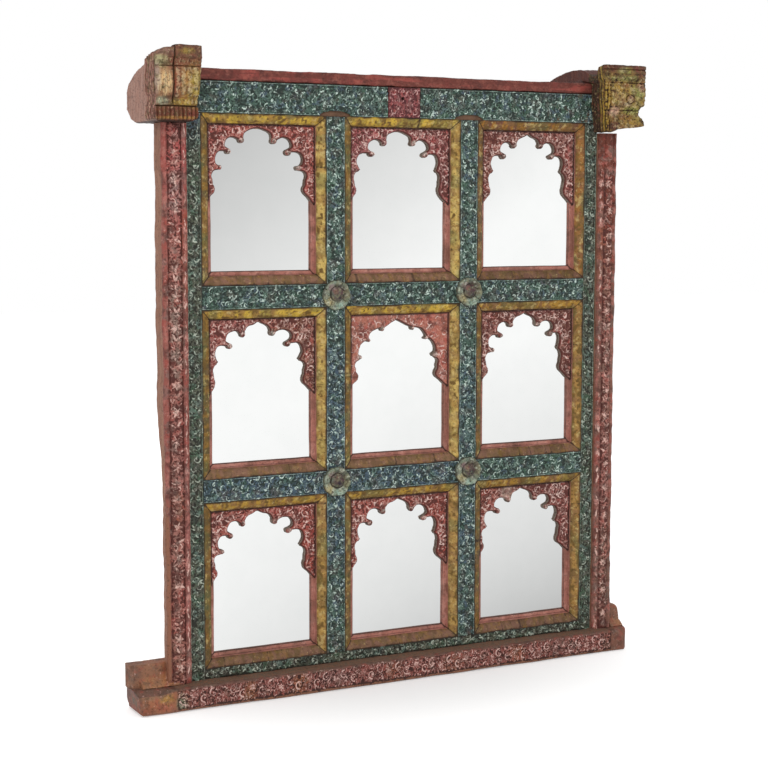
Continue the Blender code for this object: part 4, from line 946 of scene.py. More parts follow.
def make_moulding(row, column):
    """The moulding of one pane: a closed profile of bevel, step and lip carried round the pane's
    four sides, whose corners meet on mitres. A place is the corner of its side at the profile's
    offset, plus a share of the way to the next corner."""
    profile = [(-0.0006, 0.0006), (0.0, 0.0004)]
    profile += [(BEVEL_WIDTH * t, 0.0004 + (BEVEL_DEPTH - 0.0004) * t - 0.0014 * math.sin(math.pi * t))
                for t in np.linspace(0.08, 1, 13)]
    profile += [(BEVEL_WIDTH, d) for d in np.linspace(BEVEL_DEPTH + 0.001, LIP_FRONT - 0.0004, 6)]
    profile += [(BEVEL_WIDTH + t, LIP_FRONT) for t in np.linspace(0.0006, LIP_WIDTH - 0.0005, 7)]
    profile += [(WING_REACH, LIP_FRONT + 0.0005), (WING_REACH, LIP_BACK), (REBATE_EDGE, LIP_BACK),
                (REBATE_EDGE, MEMBER_BACK), (-0.0006, MEMBER_BACK)]
    profile = np.array(profile)
    left, low = pane_left(column), pane_bottom(row)
    right, high = left + PANE_WIDTH, low + PANE_HEIGHT
    corners = np.array([(left, low), (right, low), (right, high), (left, high)])
    inward = np.array([(1, 1), (-1, 1), (-1, -1), (1, -1)])
    rows, sides, along = [], [], []
    for k in range(4):
        length = PANE_WIDTH if k % 2 == 0 else PANE_HEIGHT
        t = np.arange(int(length / 0.0022)) / int(length / 0.0022)
        a = corners[k] + profile[:, :1] * inward[k]
        b = corners[(k + 1) % 4] + profile[:, :1] * inward[(k + 1) % 4]
        rows.append(a + t[:, None, None] * (b - a))
        sides.append(np.full(len(t), k))
        along.append(np.minimum(t, 1 - t) * length)
    flat, side, corner = (np.concatenate(parts) for parts in (rows, sides, along))
    n, m = flat.shape[:2]
    offset, depth = profile.T
    side = side[:, None]
    points = np.stack(np.broadcast_arrays(flat[..., 0], depth, flat[..., 1]), -1)
    seed = 200 + 3 * row + column
    on_bevel = (np.arange(m) < 15) * smooth(0, 0.003, offset) * smooth(0.0182, 0.0165, offset)
    chip = noise(points, 0.0042, seed) - 0.5 + 0.8 * (noise(points, 0.011, seed + 1) - 0.5)
    points[..., 1] += 0.0011 * chip * on_bevel
    sway = 0.0011 * (noise(points, 0.035, seed + 2) - 0.5) * smooth(0.004, 0.012, offset)
    points[..., 0] += (side % 2 == 1) * sway
    points[..., 2] += (side % 2 == 0) * sway
    relief = np.clip(0.45 + 1.1 * chip, 0, 1) * on_bevel + 0.45 * (1 - on_bevel)
    relief = np.where(side == 0, 0.42 + 0.35 * (relief - 0.45), relief)
    age = 1.1 if (row, column) == (0, 2) else 0.8 if column == 2 else 0.6 if row == 2 else 0.15
    run = np.where(side % 2, points[..., 2], points[..., 0])
    streaks = noise_at(run, side, 0, 0.0075, seed + 5)
    streaks = streaks + 0.6 * noise_at(run, side, points[..., 1], 0.0032, seed + 6) - 0.3
    mottle = smooth(0.42, 0.72, streaks)[..., None]
    coat = np.zeros((n, m, 4))
    for k in range(4):
        first, second = ((1 - age) * np.array(linear(sound)) + age * np.array(linear(tired))
                         for sound, tired in zip(SOUND_OCHRES[k], TIRED_OCHRES[k]))
        coat = np.where((side == k)[..., None], (1 - mottle) * first + mottle * second, coat)
    # Brown along both edges of the bevel: partly the coat's own brown, partly painted shade that makes the
    # bevel look rounded.
    rim = np.clip(bell(offset, 0, 0.0036) + bell(offset, BEVEL_WIDTH, 0.0034), 0, 1)
    rim = 0.8 * rim * smooth(0.2, 0.6, noise(points, 0.014, seed + 8))
    coat = washed(coat, "#5a3a26", rim[..., None])
    stain = 0.5 * smooth(0.62, 0.75, noise(points, 0.028, seed + 9)) * (side > 0)
    coat = washed(coat, "#5f6b3f", stain[..., None])
    level = points * (1, 0, 1)
    cracks = bell(np.mod(corner[:, None] + 0.004 * chip, 0.037), 0.018, 0.0008)
    notches = smooth(0.86, 0.94, noise_at(run, side + 9, 0, 0.0045, seed + 7))
    # Dirt in the mitres, cracks and notches, and on the bottom lip; painted shade in lines along the lip's
    # edge by the glass, in the step's corner by the lip, and along both edges of the bevel.
    grime_and_shade = (0.7 * bell(offset, WING_REACH, 0.0012) * (depth < LIP_BACK)
             + 0.95 * bell(corner, 0, 0.0022)[:, None]
             + 0.75 * bell(offset, 0, 0.0026) * (0.5 + 0.9 * noise(level, 0.016, seed + 4))
             + 0.6 * bell(offset, BEVEL_WIDTH, 0.0015) * (depth < BEVEL_DEPTH)
             + 0.5 * (noise(level, 0.05, seed + 3) > 0.5) * cracks * on_bevel
             + 0.6 * notches * on_bevel + 0.5 * bell(np.arange(m), 20.5, 0.9)
             + 0.34 * (side == 0) * (np.arange(m) > 20))
    quads = tube_faces(n, m, closed=True)
    masks = {"relief": relief.ravel(), "wear": 0.08, "grime_and_shade": np.clip(grime_and_shade, 0, 1).ravel(),
             "coat": coat.reshape(-1, 4)}
    piece = put("moulding_%d_%d" % (row + 1, column + 1), points.reshape(-1, 3), quads, NO_TRIANGLES, masks,
                OCHRE)
    piece.data.materials.append(PINK)
    inner = (quads % m >= 14).all(1)
    piece.data.polygons.foreach_set("material_index", inner.astype(np.int32))


# Arches
TWO_BUDS = ((0.320, 0.278, 0.050, 165, 352), (0.471, 0.351, 0.130, 145, -12), (0.541, 0.468, 0.050, 95, 370),
            (0.666, 0.593, 0.134, 106, -32), (0.745, 0.738, 0.016, 62, 300), (0.774, 0.875, 0.095, 97, -38),
            (0.900, 1.104, 0.095, 128, 232))
THREE_BUDS = TWO_BUDS[:4] + ((0.709, 0.732, 0.042, 62, 300),) + TWO_BUDS[5:]
SHALLOW = ((0.328, 0.275, 0.033, 165, 352), (0.380, 0.480, 0.220, 95, 15), (0.590, 0.462, 0.030, 110, 370),
           (0.560, 0.690, 0.235, 72, -5), (0.770, 0.763, 0.038, 80, 290), (0.774, 0.900, 0.080, 80, -45),
           (0.900, 1.104, 0.110, 128, 232))
ROUND = ((0.0, 0.060), (0.104, 0.088), (0.208, 0.122), (0.262, 0.161), (0.275, 0.225))
POINTED = ((0.0, 0.050), (0.045, 0.088), (0.100, 0.112), (0.175, 0.135), (0.235, 0.168), (0.270, 0.225))
LOW = ((0.0, 0.113), (0.125, 0.172), (0.223, 0.222), (0.285, 0.248))
TAIL = ((0.905, 1.240), (0.952, 1.315), (1.0, 1.375))
# Each hand-cut arch by row and column: how far its crown lies right of its pane's middle, its
# crown, and for the left and right bracket its cusps and the places across that they are eased
# to: the first two buds, the third bud or point, and the last scallop.
ARCHES = (
    ((-0.080, ROUND, (THREE_BUDS, (0.280, 0.527, 0.675, 0.822)), (THREE_BUDS, (0.316, 0.590, 0.769, 0.925))),
     (-0.049, ROUND, (TWO_BUDS, (0.255, 0.508, 0.755, 0.860)), (TWO_BUDS, (0.318, 0.558, 0.790, 0.865))),
     (0.016, POINTED, (TWO_BUDS, (0.312, 0.541, 0.765, 0.860)), (TWO_BUDS, (0.262, 0.502, 0.712, 0.790)))),
    ((-0.056, POINTED, (TWO_BUDS, (0.305, 0.545, 0.770, 0.850)), (TWO_BUDS, (0.245, 0.548, 0.768, 0.870))),
     (-0.059, LOW, (SHALLOW, (0.280, 0.555, 0.735, 0.825)), (SHALLOW, (0.328, 0.600, 0.780, 0.850))),
     (-0.033, POINTED, (THREE_BUDS, (0.302, 0.525, 0.700, 0.840)), (TWO_BUDS, (0.285, 0.580, 0.738, 0.815)))),
    ((-0.110, POINTED, (THREE_BUDS, (0.272, 0.500, 0.655, 0.797)), (TWO_BUDS, (0.335, 0.604, 0.835, 0.925))),
     (-0.010, POINTED, (TWO_BUDS, (0.312, 0.580, 0.790, 0.876)), (TWO_BUDS, (0.262, 0.528, 0.745, 0.820))),
     (-0.082, POINTED, (TWO_BUDS, (0.255, 0.502, 0.745, 0.843)), (TWO_BUDS, (0.305, 0.575, 0.775, 0.860)))))
ARCH_COATS = (("#a2564c", "#9c4f45"), ("#985658", "#864846"), ("#7d4a3c", "#84544a"),
              ("#96544c", "#7f5240"), ("#b06e5c", "#b46c5a"), ("#7a493c", "#74483c"),
              ("#9c4c40", "#984437"), ("#984c40", "#93483c"), ("#8a4a3c", "#804a42"))
ARCH_HALF = PANE_WIDTH / 2 - BEVEL_WIDTH - 0.0004
ARCH_FRONT = 0.0138
ARCH_BACK = 0.0235


def walked(points, spacing):
    """Points at even steps along a path, its corners eased by a (1, 2, 1) mean."""
    points = np.asarray(points, float)
    run = np.concatenate([[0], np.cumsum(np.hypot(*np.diff(points, axis=0).T))])
    even = np.linspace(0, run[-1], int(run[-1] / spacing) + 1)
    path = np.stack([np.interp(even, run, points[:, i]) for i in (0, 1)], 1)
    for _ in range(2):
        path[1:-1] = (path[:-2] + 2 * path[1:-1] + path[2:]) / 4
    return path


def eased(cusps, targets, reach, across):
    """Places across a bracket, moved so that its cusps fall on their own marks."""
    marks = (0, cusps[0][0], cusps[2][0], cusps[4][0], cusps[5][0] + cusps[5][2], 1)
    return np.interp(across, marks, (0, *targets, reach))


def cusped_edge(crown, cusps, targets, reach):
    """The scalloped edge from the crown out, in shares of the half width, with down positive."""
    points = list(crown)
    for across, down, radius, first, last in cusps:
        turn = np.radians(np.linspace(first, last, 24))
        points += list(zip(across + radius * np.cos(turn), down - radius * np.sin(turn)))
    points = np.array(points + list(TAIL))
    return np.stack([eased(cusps, targets, reach, points[:, 0]), points[:, 1]], 1)


def filled(outline, spacing):
    """Points inside an outline in an even triangular pattern, and the triangles that join them
    and it. A point is inside where a ray from it crosses the outline an odd number of times."""
    low, high = outline.min(0), outline.max(0)
    x, z = np.meshgrid(np.arange(low[0], high[0], spacing), np.arange(low[1], high[1], spacing * 0.866))
    x[1::2] += spacing / 2
    inner = np.stack([x.ravel(), z.ravel()], 1)
    a, b = outline, np.roll(outline, -1, 0)
    rise = np.where(b[:, 1] == a[:, 1], 1, b[:, 1] - a[:, 1])
    crossing = (a[:, 1] > inner[:, 1:]) != (b[:, 1] > inner[:, 1:])
    at = a[:, 0] + (inner[:, 1:] - a[:, 1]) * (b[:, 0] - a[:, 0]) / rise
    inside = (crossing & (inner[:, :1] < at)).sum(1) % 2 == 1
    inner = inner[inside]
    gap = np.sqrt(((inner[:, None, :] - outline[None, :, :]) ** 2).sum(2)).min(1)
    points = np.concatenate([outline, inner[gap > 0.62 * spacing]])
    count = len(outline)
    edges = [(k, (k + 1) % count) for k in range(count)]
    found = delaunay_2d_cdt([tuple(p) for p in points.tolist()], edges, [], 1, 1e-7)
    return np.array([tuple(v) for v in found[0]]), np.array(found[2])


def arch_carving(rng, cusps, targets, reach, smoother):
    """Scrolls and sprays that follow an arch's edge: u runs out from the crown, v down."""
    c = Carving(1.15 * ARCH_HALF, 1.45 * ARCH_HALF, 0.0009)
    for across, down, radius, first, last in cusps:
        u, v, r = eased(cusps, targets, reach, across) * ARCH_HALF, down * ARCH_HALF, radius * ARCH_HALF
        if radius <= 0.05:
            c.arc(u, v, r * 0.6, rng.uniform(2, 3), 4.6, 0.0014, 1)
            c.dot(u, v, 0.0013, 1)
            continue
        middle = math.radians((first + last) / 2)
        for turn in np.linspace(-0.9, 0.9, 4):
            angle = -(middle + turn)
            c.leaf(u + (r + 0.0045) * math.cos(angle), v + (r + 0.0045) * math.sin(angle),
                   rng.uniform(0.012, 0.019), rng.uniform(0.0020, 0.0029), angle + rng.normal(0, 0.3),
                   rng.uniform(0.8, 1))
    for k in range(60):
        u, v = rng.uniform(0.04, 1.0) * ARCH_HALF, rng.uniform(0.04, 1.3) * ARCH_HALF
        r = rng.uniform(0.0050, 0.0090)
        if c.at(u, v) < 0.3:
            c.arc(u, v, r, rng.uniform(0, 6.28), rng.choice([-1, 1]) * rng.uniform(2.4, 5), 0.0019,
                  rng.uniform(0.8, 1), 0.5)
    fill_ground(c, rng, (0, 1.1 * ARCH_HALF), (0, 1.4 * ARCH_HALF), 0.0052, (0.006, 0.012),
                0.70 - 0.1 * smoother)
    c.h = np.maximum(c.h, 0.26 * smoother)
    return c


def make_bracket(row, column, side):
    """Half of a pane's cusped arch: a flat board filled in from its outline, carved in front,
    with a bead 2 mm in from its scalloped edge, whose front corner is rounded."""
    index = 2 * (3 * row + column) + (side > 0)
    rng = np.random.default_rng(300 + index)
    drift, crown_line, *halves = ARCHES[row][column]
    cusps, targets = halves[side > 0]
    crown = pane_left(column) + PANE_WIDTH / 2 + drift * ARCH_HALF
    reach = ARCH_HALF * (1 - side * drift)
    top = pane_bottom(row) + PANE_HEIGHT - BEVEL_WIDTH - 0.0004
    edge = walked(cusped_edge(crown_line, cusps, targets, 1 - side * drift) * ARCH_HALF, 0.0011)
    place = np.stack([edge[:, 0], np.full(len(edge), index * 0.1), edge[:, 1]], 1)
    inner = smooth(0.004, 0.012, edge[:, 0]) * smooth(reach - 0.001, reach - 0.012, edge[:, 0])
    edge += (np.stack([noise(place, 0.012, 7), noise(place, 0.012, 8)], 1) - 0.5) * 0.0022 * inner[:, None]
    edge[:, 0] = np.clip(edge[:, 0], 0.00015, reach)
    rest = walked([edge[-1], (reach, 0), (reach, 0)], 0.0022)[1:-1]
    head = walked([(reach, 0), (0.00015, 0)], 0.0022)[1:]
    rest = np.concatenate([rest[rest[:, 1] > 0.0015], [(reach, 0)], head])
    flat, triangles = filled(np.concatenate([edge, rest]), 0.00145)
    count = len(edge) + len(rest)
    gap = np.sqrt(((flat[:, None, :] - edge[None, :, :]) ** 2).sum(2)).min(1)
    c = arch_carving(rng, cusps, targets, 1 - side * drift, float(row == 1 and column == 1))
    u = np.clip(np.searchsorted(c.u, flat[:, 0]), 0, len(c.u) - 1)
    v = np.clip(np.searchsorted(c.v, flat[:, 1]), 0, len(c.v) - 1)
    relief = c.h[u, v] * smooth(0.0028, 0.0045, gap)
    relief = np.maximum(relief, 0.75 * bell(gap, 0.0040, 0.0011))
    bud = np.zeros(len(flat))
    for across, down, radius, first, last in cusps:
        if 0.02 < radius <= 0.05:
            middle = eased(cusps, targets, 1 - side * drift, across) * ARCH_HALF
            away = np.hypot(flat[:, 0] - middle, flat[:, 1] - down * ARCH_HALF)
            bud = np.maximum(bud, smooth(0.0078, 0.0048, away))
    relief = relief * (1 - bud) + c.h[u, v] * bud
    drop = 0.0050 * (1 - dome(np.clip(1 - gap / 0.0042, 0, 1)))
    front = ARCH_FRONT + 0.0022 * (0.55 - relief) + drop
    sides = np.minimum(reach - flat[:, 0], flat[:, 1])
    x, z = crown + side * flat[:, 0], top - flat[:, 1]
    levels = np.linspace(0, 1, 6)[1:]
    walls = [np.stack([x[:count], front[:count] + t * (ARCH_BACK - front[:count]), z[:count]], 1)
             for t in levels[:-1]]
    ends = [np.stack([x, y, z], 1) for y in (front, np.full(len(x), ARCH_BACK))]
    points = np.concatenate([ends[0], *walls, ends[1]])
    starts = [0, *[len(x) + count * k for k in range(5)]]
    k = np.arange(count)
    after = (k + 1) % count
    quads = np.concatenate([np.stack([k + a, k + b, after + b, after + a], 1)
                            for a, b in zip(starts[:-1], starts[1:])])
    split = np.concatenate([triangles, triangles[:, ::-1] + starts[-1]])
    along = triangles[0, [1, 2]], triangles[0, 0]
    dx, dz = x[along[0]] - x[along[1]], z[along[0]] - z[along[1]]
    if dx[0] * dz[1] < dx[1] * dz[0]:
        split = split[:, ::-1]
    if (x[:count] * np.roll(z[:count], -1) - z[:count] * np.roll(x[:count], -1)).sum() < 0:
        quads = quads[:, ::-1]
    rest_count = len(points) - len(x)
    # Painted shade along the bracket's straight sides, where it meets the moulding, darkest at the edge.
    grime_and_shade = 0.8 * bell(sides, 0, 0.0035) + 0.30 * smooth(0.02, 0.0, sides)
    coat = np.tile(np.array(linear(ARCH_COATS[3 * row + column][side > 0])), (len(points), 1))
    patina = np.zeros(len(points))
    patina[:len(x)] = 0.9 * bud * smooth(0.25, 0.5, noise(place[:1] + points[:len(x)], 0.008, 9))
    if (row, column, side) == (2, 2, -1):
        pale = smooth(0.022, 0.017, np.hypot(flat[:, 0] - 0.034, 0.8 * flat[:, 1] - 0.014))
        patina[:len(x)] = np.maximum(patina[:len(x)], pale)
        relief = np.maximum(relief, 0.5 * pale)
    worn = "#b59a8a" if (row, column, side) == (2, 2, -1) else "#85867c"
    masks = {"relief": np.append(relief, np.full(rest_count, 0.4)), "wear": 0.10,
             "grime_and_shade": np.append(np.clip(grime_and_shade, 0, 1), np.full(rest_count, 0.1)),
             "side": np.append(0.85 * smooth(0.0020, 0.0002, gap), np.ones(rest_count)),
             "coat": washed(coat, worn, patina[:, None])}
    name = "arch_%s_%d_%d" % ("left" if side < 0 else "right", row + 1, column + 1)
    put("carved_" + name, points, quads, split, masks, PALE_RED, [name])


# Rosettes
def make_rosette(row, column):
    """A cupped flower: rings of points round a middle. Its petals' tips scallop the rim by
    |cos(4 a)|, and a domed boss, cut by two grooves, stands in its cup."""
    x0 = pane_left(column) + PANE_WIDTH + MUNTIN_WIDTH / 2
    z0 = pane_bottom(row) - RAIL_HEIGHT / 2
    seed = 400 + 2 * row + column
    turn = np.linspace(0, 2 * math.pi, 144, endpoint=False)[None, :]
    r = np.concatenate([np.linspace(0.0006, 0.0145, 16), np.linspace(0.0151, ROSETTE_RADIUS, 20)])[:, None]
    uneven = 0.5 * np.sin(2 * turn + seed) + 0.4 * np.sin(3 * turn + 2 * seed)
    lobe = np.abs(np.cos(4 * turn + 0.3 * seed + uneven))
    boss = 0.0118 * dome(r / 0.0155) + 0.0012 * np.cos(6 * turn) * smooth(0.004, 0.010, r)
    t = (r - BOSS_RADIUS) / (ROSETTE_RADIUS - BOSS_RADIUS)
    cup = 0.0032 + 0.0046 * smooth(0.1, 0.85, t) - 0.0024 * smooth(0.88, 1.0, t)
    cup = cup + 0.0016 * (np.sqrt(lobe) - 0.6) * smooth(0.1, 0.5, t)
    cup = cup - 0.0012 * bell(lobe, 0, 0.12) * (t > 0.1)
    height = np.where(r < BOSS_RADIUS, boss, cup)
    reach = r * (1 + 0.065 * (np.sqrt(lobe) - 0.55) * smooth(0.3, 1, t))
    side = np.array([0.75, 0.4, 0.0])[:, None] * height[-1:]
    height = np.concatenate([height * np.ones_like(turn), side])
    reach = np.concatenate([reach * np.ones_like(turn), np.repeat(reach[-1:] * 1.03, 3, 0)])
    reach = np.minimum(reach, ROSETTE_REACH)
    points = np.stack([x0 + reach * np.cos(turn), -FIT_GAP - height, z0 + reach * np.sin(turn)], -1)
    bumps = noise(points, 0.005, seed) - 0.5
    points[:-1, :, 1] += 0.0030 * bumps[:-1]
    loose = smooth(0.022, 0.012, np.concatenate([r, np.full((2, 1), 0.03)]))
    points[:-1, :, 0] += loose * (0.0016 + 0.0022 * (noise(points[:-1], 0.009, seed + 2) - 0.5))
    points[:-1, :, 2] += loose * (0.0034 + 0.0040 * (noise(points[:-1], 0.009, seed + 3) - 0.5))
    points[..., 1] = np.clip(points[..., 1], -0.0122, -FIT_GAP)
    n, m = points.shape[:2]
    flat = np.concatenate([points.reshape(-1, 3), [(x0, -0.0121, z0), (x0, -FIT_GAP, z0)]])
    level = np.where(r < BOSS_RADIUS, 0.35, 0.12 + 0.52 * np.sqrt(lobe))
    level = np.concatenate([level, np.full((3, m), 0.4)])
    level += 0.5 * (noise(points, 0.0045, seed + 1) - 0.5)
    rows = np.concatenate([r, np.full((3, 1), ROSETTE_RADIUS)])
    grime_and_shade = (0.3 + noise(points, 0.009, seed + 4)) * bell(rows, 0.0152, 0.0018)
    grime_and_shade = grime_and_shade + 0.6 * smooth(0.0280, ROSETTE_RADIUS, rows)
    masks = {key: np.concatenate([value.ravel(), value.ravel()[:1], value.ravel()[-1:]])
             for key, value in (("relief", level), ("grime_and_shade", grime_and_shade))}
    masks["wear"] = 0.15
    tip = 0.003 * (column - row)
    masks["coat"] = daubed(flat[:, [0, 2]] - (x0, z0), "#82907f", (
        (-0.012, 0.015, 0.009, 0.007, "#b39a98", 0.85), (-0.018, -0.012, 0.014, 0.010, "#b9ab7c", 0.9),
        (0.006, -0.023, 0.012, 0.008, "#9db5a4", 0.9), (0.022, 0.004 + tip, 0.009, 0.018, "#7b7658", 0.85),
        (-0.024, 0.004, 0.007, 0.012, "#a3ad9a", 0.8), (0.014, 0.022, 0.010, 0.008, "#6f7460", 0.8),
        (0.003, 0.005, 0.0160, 0.0175, "#54353b", 0.97), (0.004, -0.003, 0.006, 0.005, "#2c2230", 0.85),
        (-0.005, 0.008, 0.005, 0.005, "#8a5a52", 0.7)), seed)
    name = "rosette_%d_%d" % (row + 1, column + 1)
    put("carved_" + name, flat, tube_faces(n, m), end_fans(n, m), masks, CREAM, [name])


# Capitals
def even_skin(node, voxel):
    """Points, outward directions and quads of an even skin laid over a node's solid."""
    work = bmesh.new()
    work.from_mesh(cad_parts[node].data)
    bmesh.ops.remove_doubles(work, verts=work.verts, dist=1e-5)
    mesh = bpy.data.meshes.new("skin")
    work.to_mesh(mesh)
    work.free()
    piece = bpy.data.objects.new("skin", mesh)
    bpy.context.scene.collection.objects.link(piece)
    skin = piece.modifiers.new("skin", "REMESH")
    skin.mode = "VOXEL"
    skin.voxel_size = voxel
    done = piece.evaluated_get(bpy.context.evaluated_depsgraph_get())
    made = done.to_mesh()
    points = np.empty(3 * len(made.vertices))
    made.vertices.foreach_get("co", points)
    normals = np.empty(3 * len(made.vertices))
    made.vertices.foreach_get("normal", normals)
    quads = np.empty(len(made.loops), int)
    made.loops.foreach_get("vertex_index", quads)
    done.to_mesh_clear()
    bpy.data.objects.remove(piece)
    return points.reshape(-1, 3), normals.reshape(-1, 3), quads.reshape(-1, 4)


def left_capital_carving(rng, width):
    """Flutes at the foot, a small leaf band, a field of upright leaves left of a deep cut and
    of ridges right of it, a band of pointed petals, and a moulded top."""
    c = Carving(width, CAPITAL_HEIGHT, 0.0008)
    u, v = c.u[:, None], c.v
    c.h += 0.42
    for k in range(int(width / 0.0085) + 1):
        c.petal((k + 0.5) * 0.0085, 0.117, 0.013, 0.0042, -math.pi / 2, 1.0)
        c.leaf((k + 0.5) * 0.0085, 0.032, 0.013, 0.0036, math.pi / 2 + rng.normal(0, 0.2), 0.9)
    for place, low, high in ((0.068, 0.048, 0.096), (0.079, 0.042, 0.100), (0.090, 0.050, 0.094)):
        c.leaf(place, low, high - low, 0.0058, math.pi / 2 + rng.normal(0, 0.06), 1.0, 0.6)
    ridges = 0.40 + 0.40 * np.sqrt(np.abs(np.sin(math.pi * (u + 0.002) / 0.0125)))
    c.h = np.where((u < 0.058) & (v > 0.046) & (v < 0.103), np.maximum(c.h, ridges), c.h)
    fill_ground(c, rng, (0.002, width - 0.002), (0.034, 0.116), 0.0052, (0.004, 0.008), 0.75)
    flutes = np.abs(np.sin(math.pi * u / 0.0085)) ** 1.3
    c.h = np.where(v < 0.028, 1.3 * flutes * smooth(0.001, 0.005, v), c.h)
    c.h = np.maximum(c.h, 0.85 * smooth(0.118, 0.120, v))
    c.h -= bell(v, 0.0300, 0.0012) + 0.6 * bell(v, 0.1035, 0.001)
    c.h -= 1.4 * bell(u, 0.061, 0.0016) * smooth(0.03, 0.04, v)
    c.h += 0.9 * (u < 0.060) * smooth(0.117, 0.119, v)
    return c


def right_capital_carving(rng, width):
    """A plain banded field with a raised disc, leaves at the foot, a row of small leaves under a
    moulded top, and a bead at the outer end of the foot."""
    c = Carving(width, CAPITAL_HEIGHT, 0.0008)
    u, v = c.u[:, None], c.v
    c.h += 0.45 + 0.10 * np.sin(2 * math.pi * v / 0.0115) * smooth(0.045, 0.055, v)
    fill_ground(c, rng, (0.002, width - 0.002), (0.002, 0.046), 0.0050, (0.005, 0.010), 1.0)
    fill_ground(c, rng, (0.022, width - 0.002), (0.106, 0.124), 0.0042, (0.005, 0.008), 1.0)
    fill_ground(c, rng, (0.024, width - 0.002), (0.048, 0.104), 0.0070, (0.006, 0.010), 0.85)
    c.h += 0.9 * (noise_at(u, v, 0, 0.005, 505) - 0.5) + 0.6 * (noise_at(u, v, 0, 0.0022, 506) - 0.5)
    for turn in range(6):
        c.leaf(0.032, 0.044, 0.012, 0.0034, turn * 1.047, 1.0)
    c.arc(0.098, 0.096, 0.006, 1.0, 4.6, 0.0022, 1.0)
    c.arc(0.094, 0.112, 0.005, 4.0, 4.6, 0.0020, 1.0)
    c.h = np.maximum(c.h, 0.9 * smooth(0.124, 0.126, v))
    c.h -= 0.9 * bell(v, 0.1335, 0.0012) + 0.7 * bell(v, 0.1060, 0.0011) + 0.6 * bell(v, 0.0470, 0.0012)
    d = np.hypot(u - 0.070, v - 0.0715)
    c.h = np.where(d < 0.0085, 0.7 + 0.5 * dome(d / 0.0085), c.h) - 0.8 * bell(d, 0.0097, 0.0010)
    for place in (0.006, 0.013, 0.020):
        c.h -= bell(u, place, 0.0012) * smooth(0.106, 0.100, v)
    return c


def make_capital(name, side, block, carving, seed, foot, flank, spots, finish):
    """A capital: an even skin over its solid, carved on the face, reeded on its flank, and
    roughened by hewing on its tail, whose top dips towards the block."""
    inner, width = block
    c = carving(np.random.default_rng(seed), width)
    points, normals, quads = even_skin(name, 0.0015)
    out = np.clip(side * points[:, 0] - inner, 0, width - 1e-6)
    up = np.clip(points[:, 2] - CAPITAL_BOTTOM, 0, CAPITAL_HEIGHT - 1e-6)
    height = c.h[np.searchsorted(c.u, out), np.searchsorted(c.v, up)]
    facing = smooth(0.25, 0.6, -normals[:, 1]) * smooth(0.0, -0.02, points[:, 1])
    beside = smooth(0.5, 0.8, np.abs(normals[:, 0])) * smooth(0.002, -0.004, points[:, 1])
    stripe = 0.5 + 0.5 * np.cos(2 * math.pi * (points[:, 1] + 0.0012 * np.sin(points[:, 2] / 0.011)) / 0.0105)
    low, high = (np.array(corner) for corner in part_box(name))
    lumps = (noise(points, 0.016, 501) - 0.5) * 0.0024 + (noise(points, 0.005, 502) - 0.5) * 0.0010
    behind = points[:, 1] - 0.045
    hump = 1.3 * np.clip(-behind / 0.055, 0, 1) ** 1.5 + np.clip(behind / 0.135, 0, 1) ** 2
    dip = 0.011 * hump * smooth(-0.034, -0.026, points[:, 1]) * (side > 0)
    points = points + normals * (lumps - 0.0007 - 0.0020 * beside * (1 - stripe))[:, None]
    points[:, 1] -= facing * 0.0036 * (height - 0.45)
    points[:, 2] -= dip * smooth(0.09, 0.13, up)
    if side < 0:
        step = smooth(0.060, 0.064, out) * smooth(0.118, 0.14, up)
        points[:, 2] -= 0.0035 * step * smooth(0.02, -0.01, points[:, 1])
    points = np.clip(points, low, high)
    share = smooth(0.2, 0.5, -normals[:, 1]) * smooth(0.002, -0.012, points[:, 1])
    top = smooth(0.5, 0.8, normals[:, 2]) * smooth(0.12, 0.135, up) * smooth(-0.005, -0.015, points[:, 1])
    share = np.maximum(share, top)
    coat = daubed(np.stack([out, up], 1), foot, spots, 503)
    first, second = (np.array(linear(code)) for code in flank)
    crest = smooth(0.25, 0.6, stripe + 0.4 * (noise(points, 0.009, 504) - 0.5))
    reed = second + (first - second) * crest[:, None]
    # The right capital's flank turns dark brown further back: painted shade on its inner side.
    reed = washed(reed, "#37241b", (side > 0) * smooth(0.024, 0.034, points[:, 1] - low[1])[:, None])
    reed = washed(reed, "#b98c45", (side < 0) * 0.8 * bell(points[:, 1], 0.001, 0.0014)[:, None])
    coat = reed * (1 - share[:, None]) + coat * share[:, None]
    rim = np.maximum(bell(out, 0, 0.0035), bell(out, width, 0.004))
    rim = np.maximum(rim, bell(up, CAPITAL_HEIGHT, 0.0045))
    seam = np.maximum(0.9 * bell(up, -0.001, 0.004), 0.6 * rim * share)
    sunk = 0.45 * smooth(0.116, 0.119, up) + 0.4 * smooth(0.030, 0.026, up) * (side < 0)
    masks = {"relief": 0.55 * (1 - facing) + facing * np.clip(height, 0, 1) * (1 - sunk), "wear": 0.08,
             "grime_and_shade": np.maximum(seam, 0.5 * beside * smooth(0.3, 0.1, stripe)),
             "side": (1 - share) * smooth(0.0, 0.004, points[:, 1]), "coat": coat}
    put("carved_" + name, points, quads, NO_TRIANGLES, masks, finish, [name])


# Camera, floor and light. The camera's yaw, pitch and roll in degrees, its place and its lens
# in millimetres
CAMERA_TURNS = (27.50, 5.99, 0.12)
CAMERA_PLACE = (-1.6746, -3.1307, 0.9915)
CAMERA_LENS = 80.68


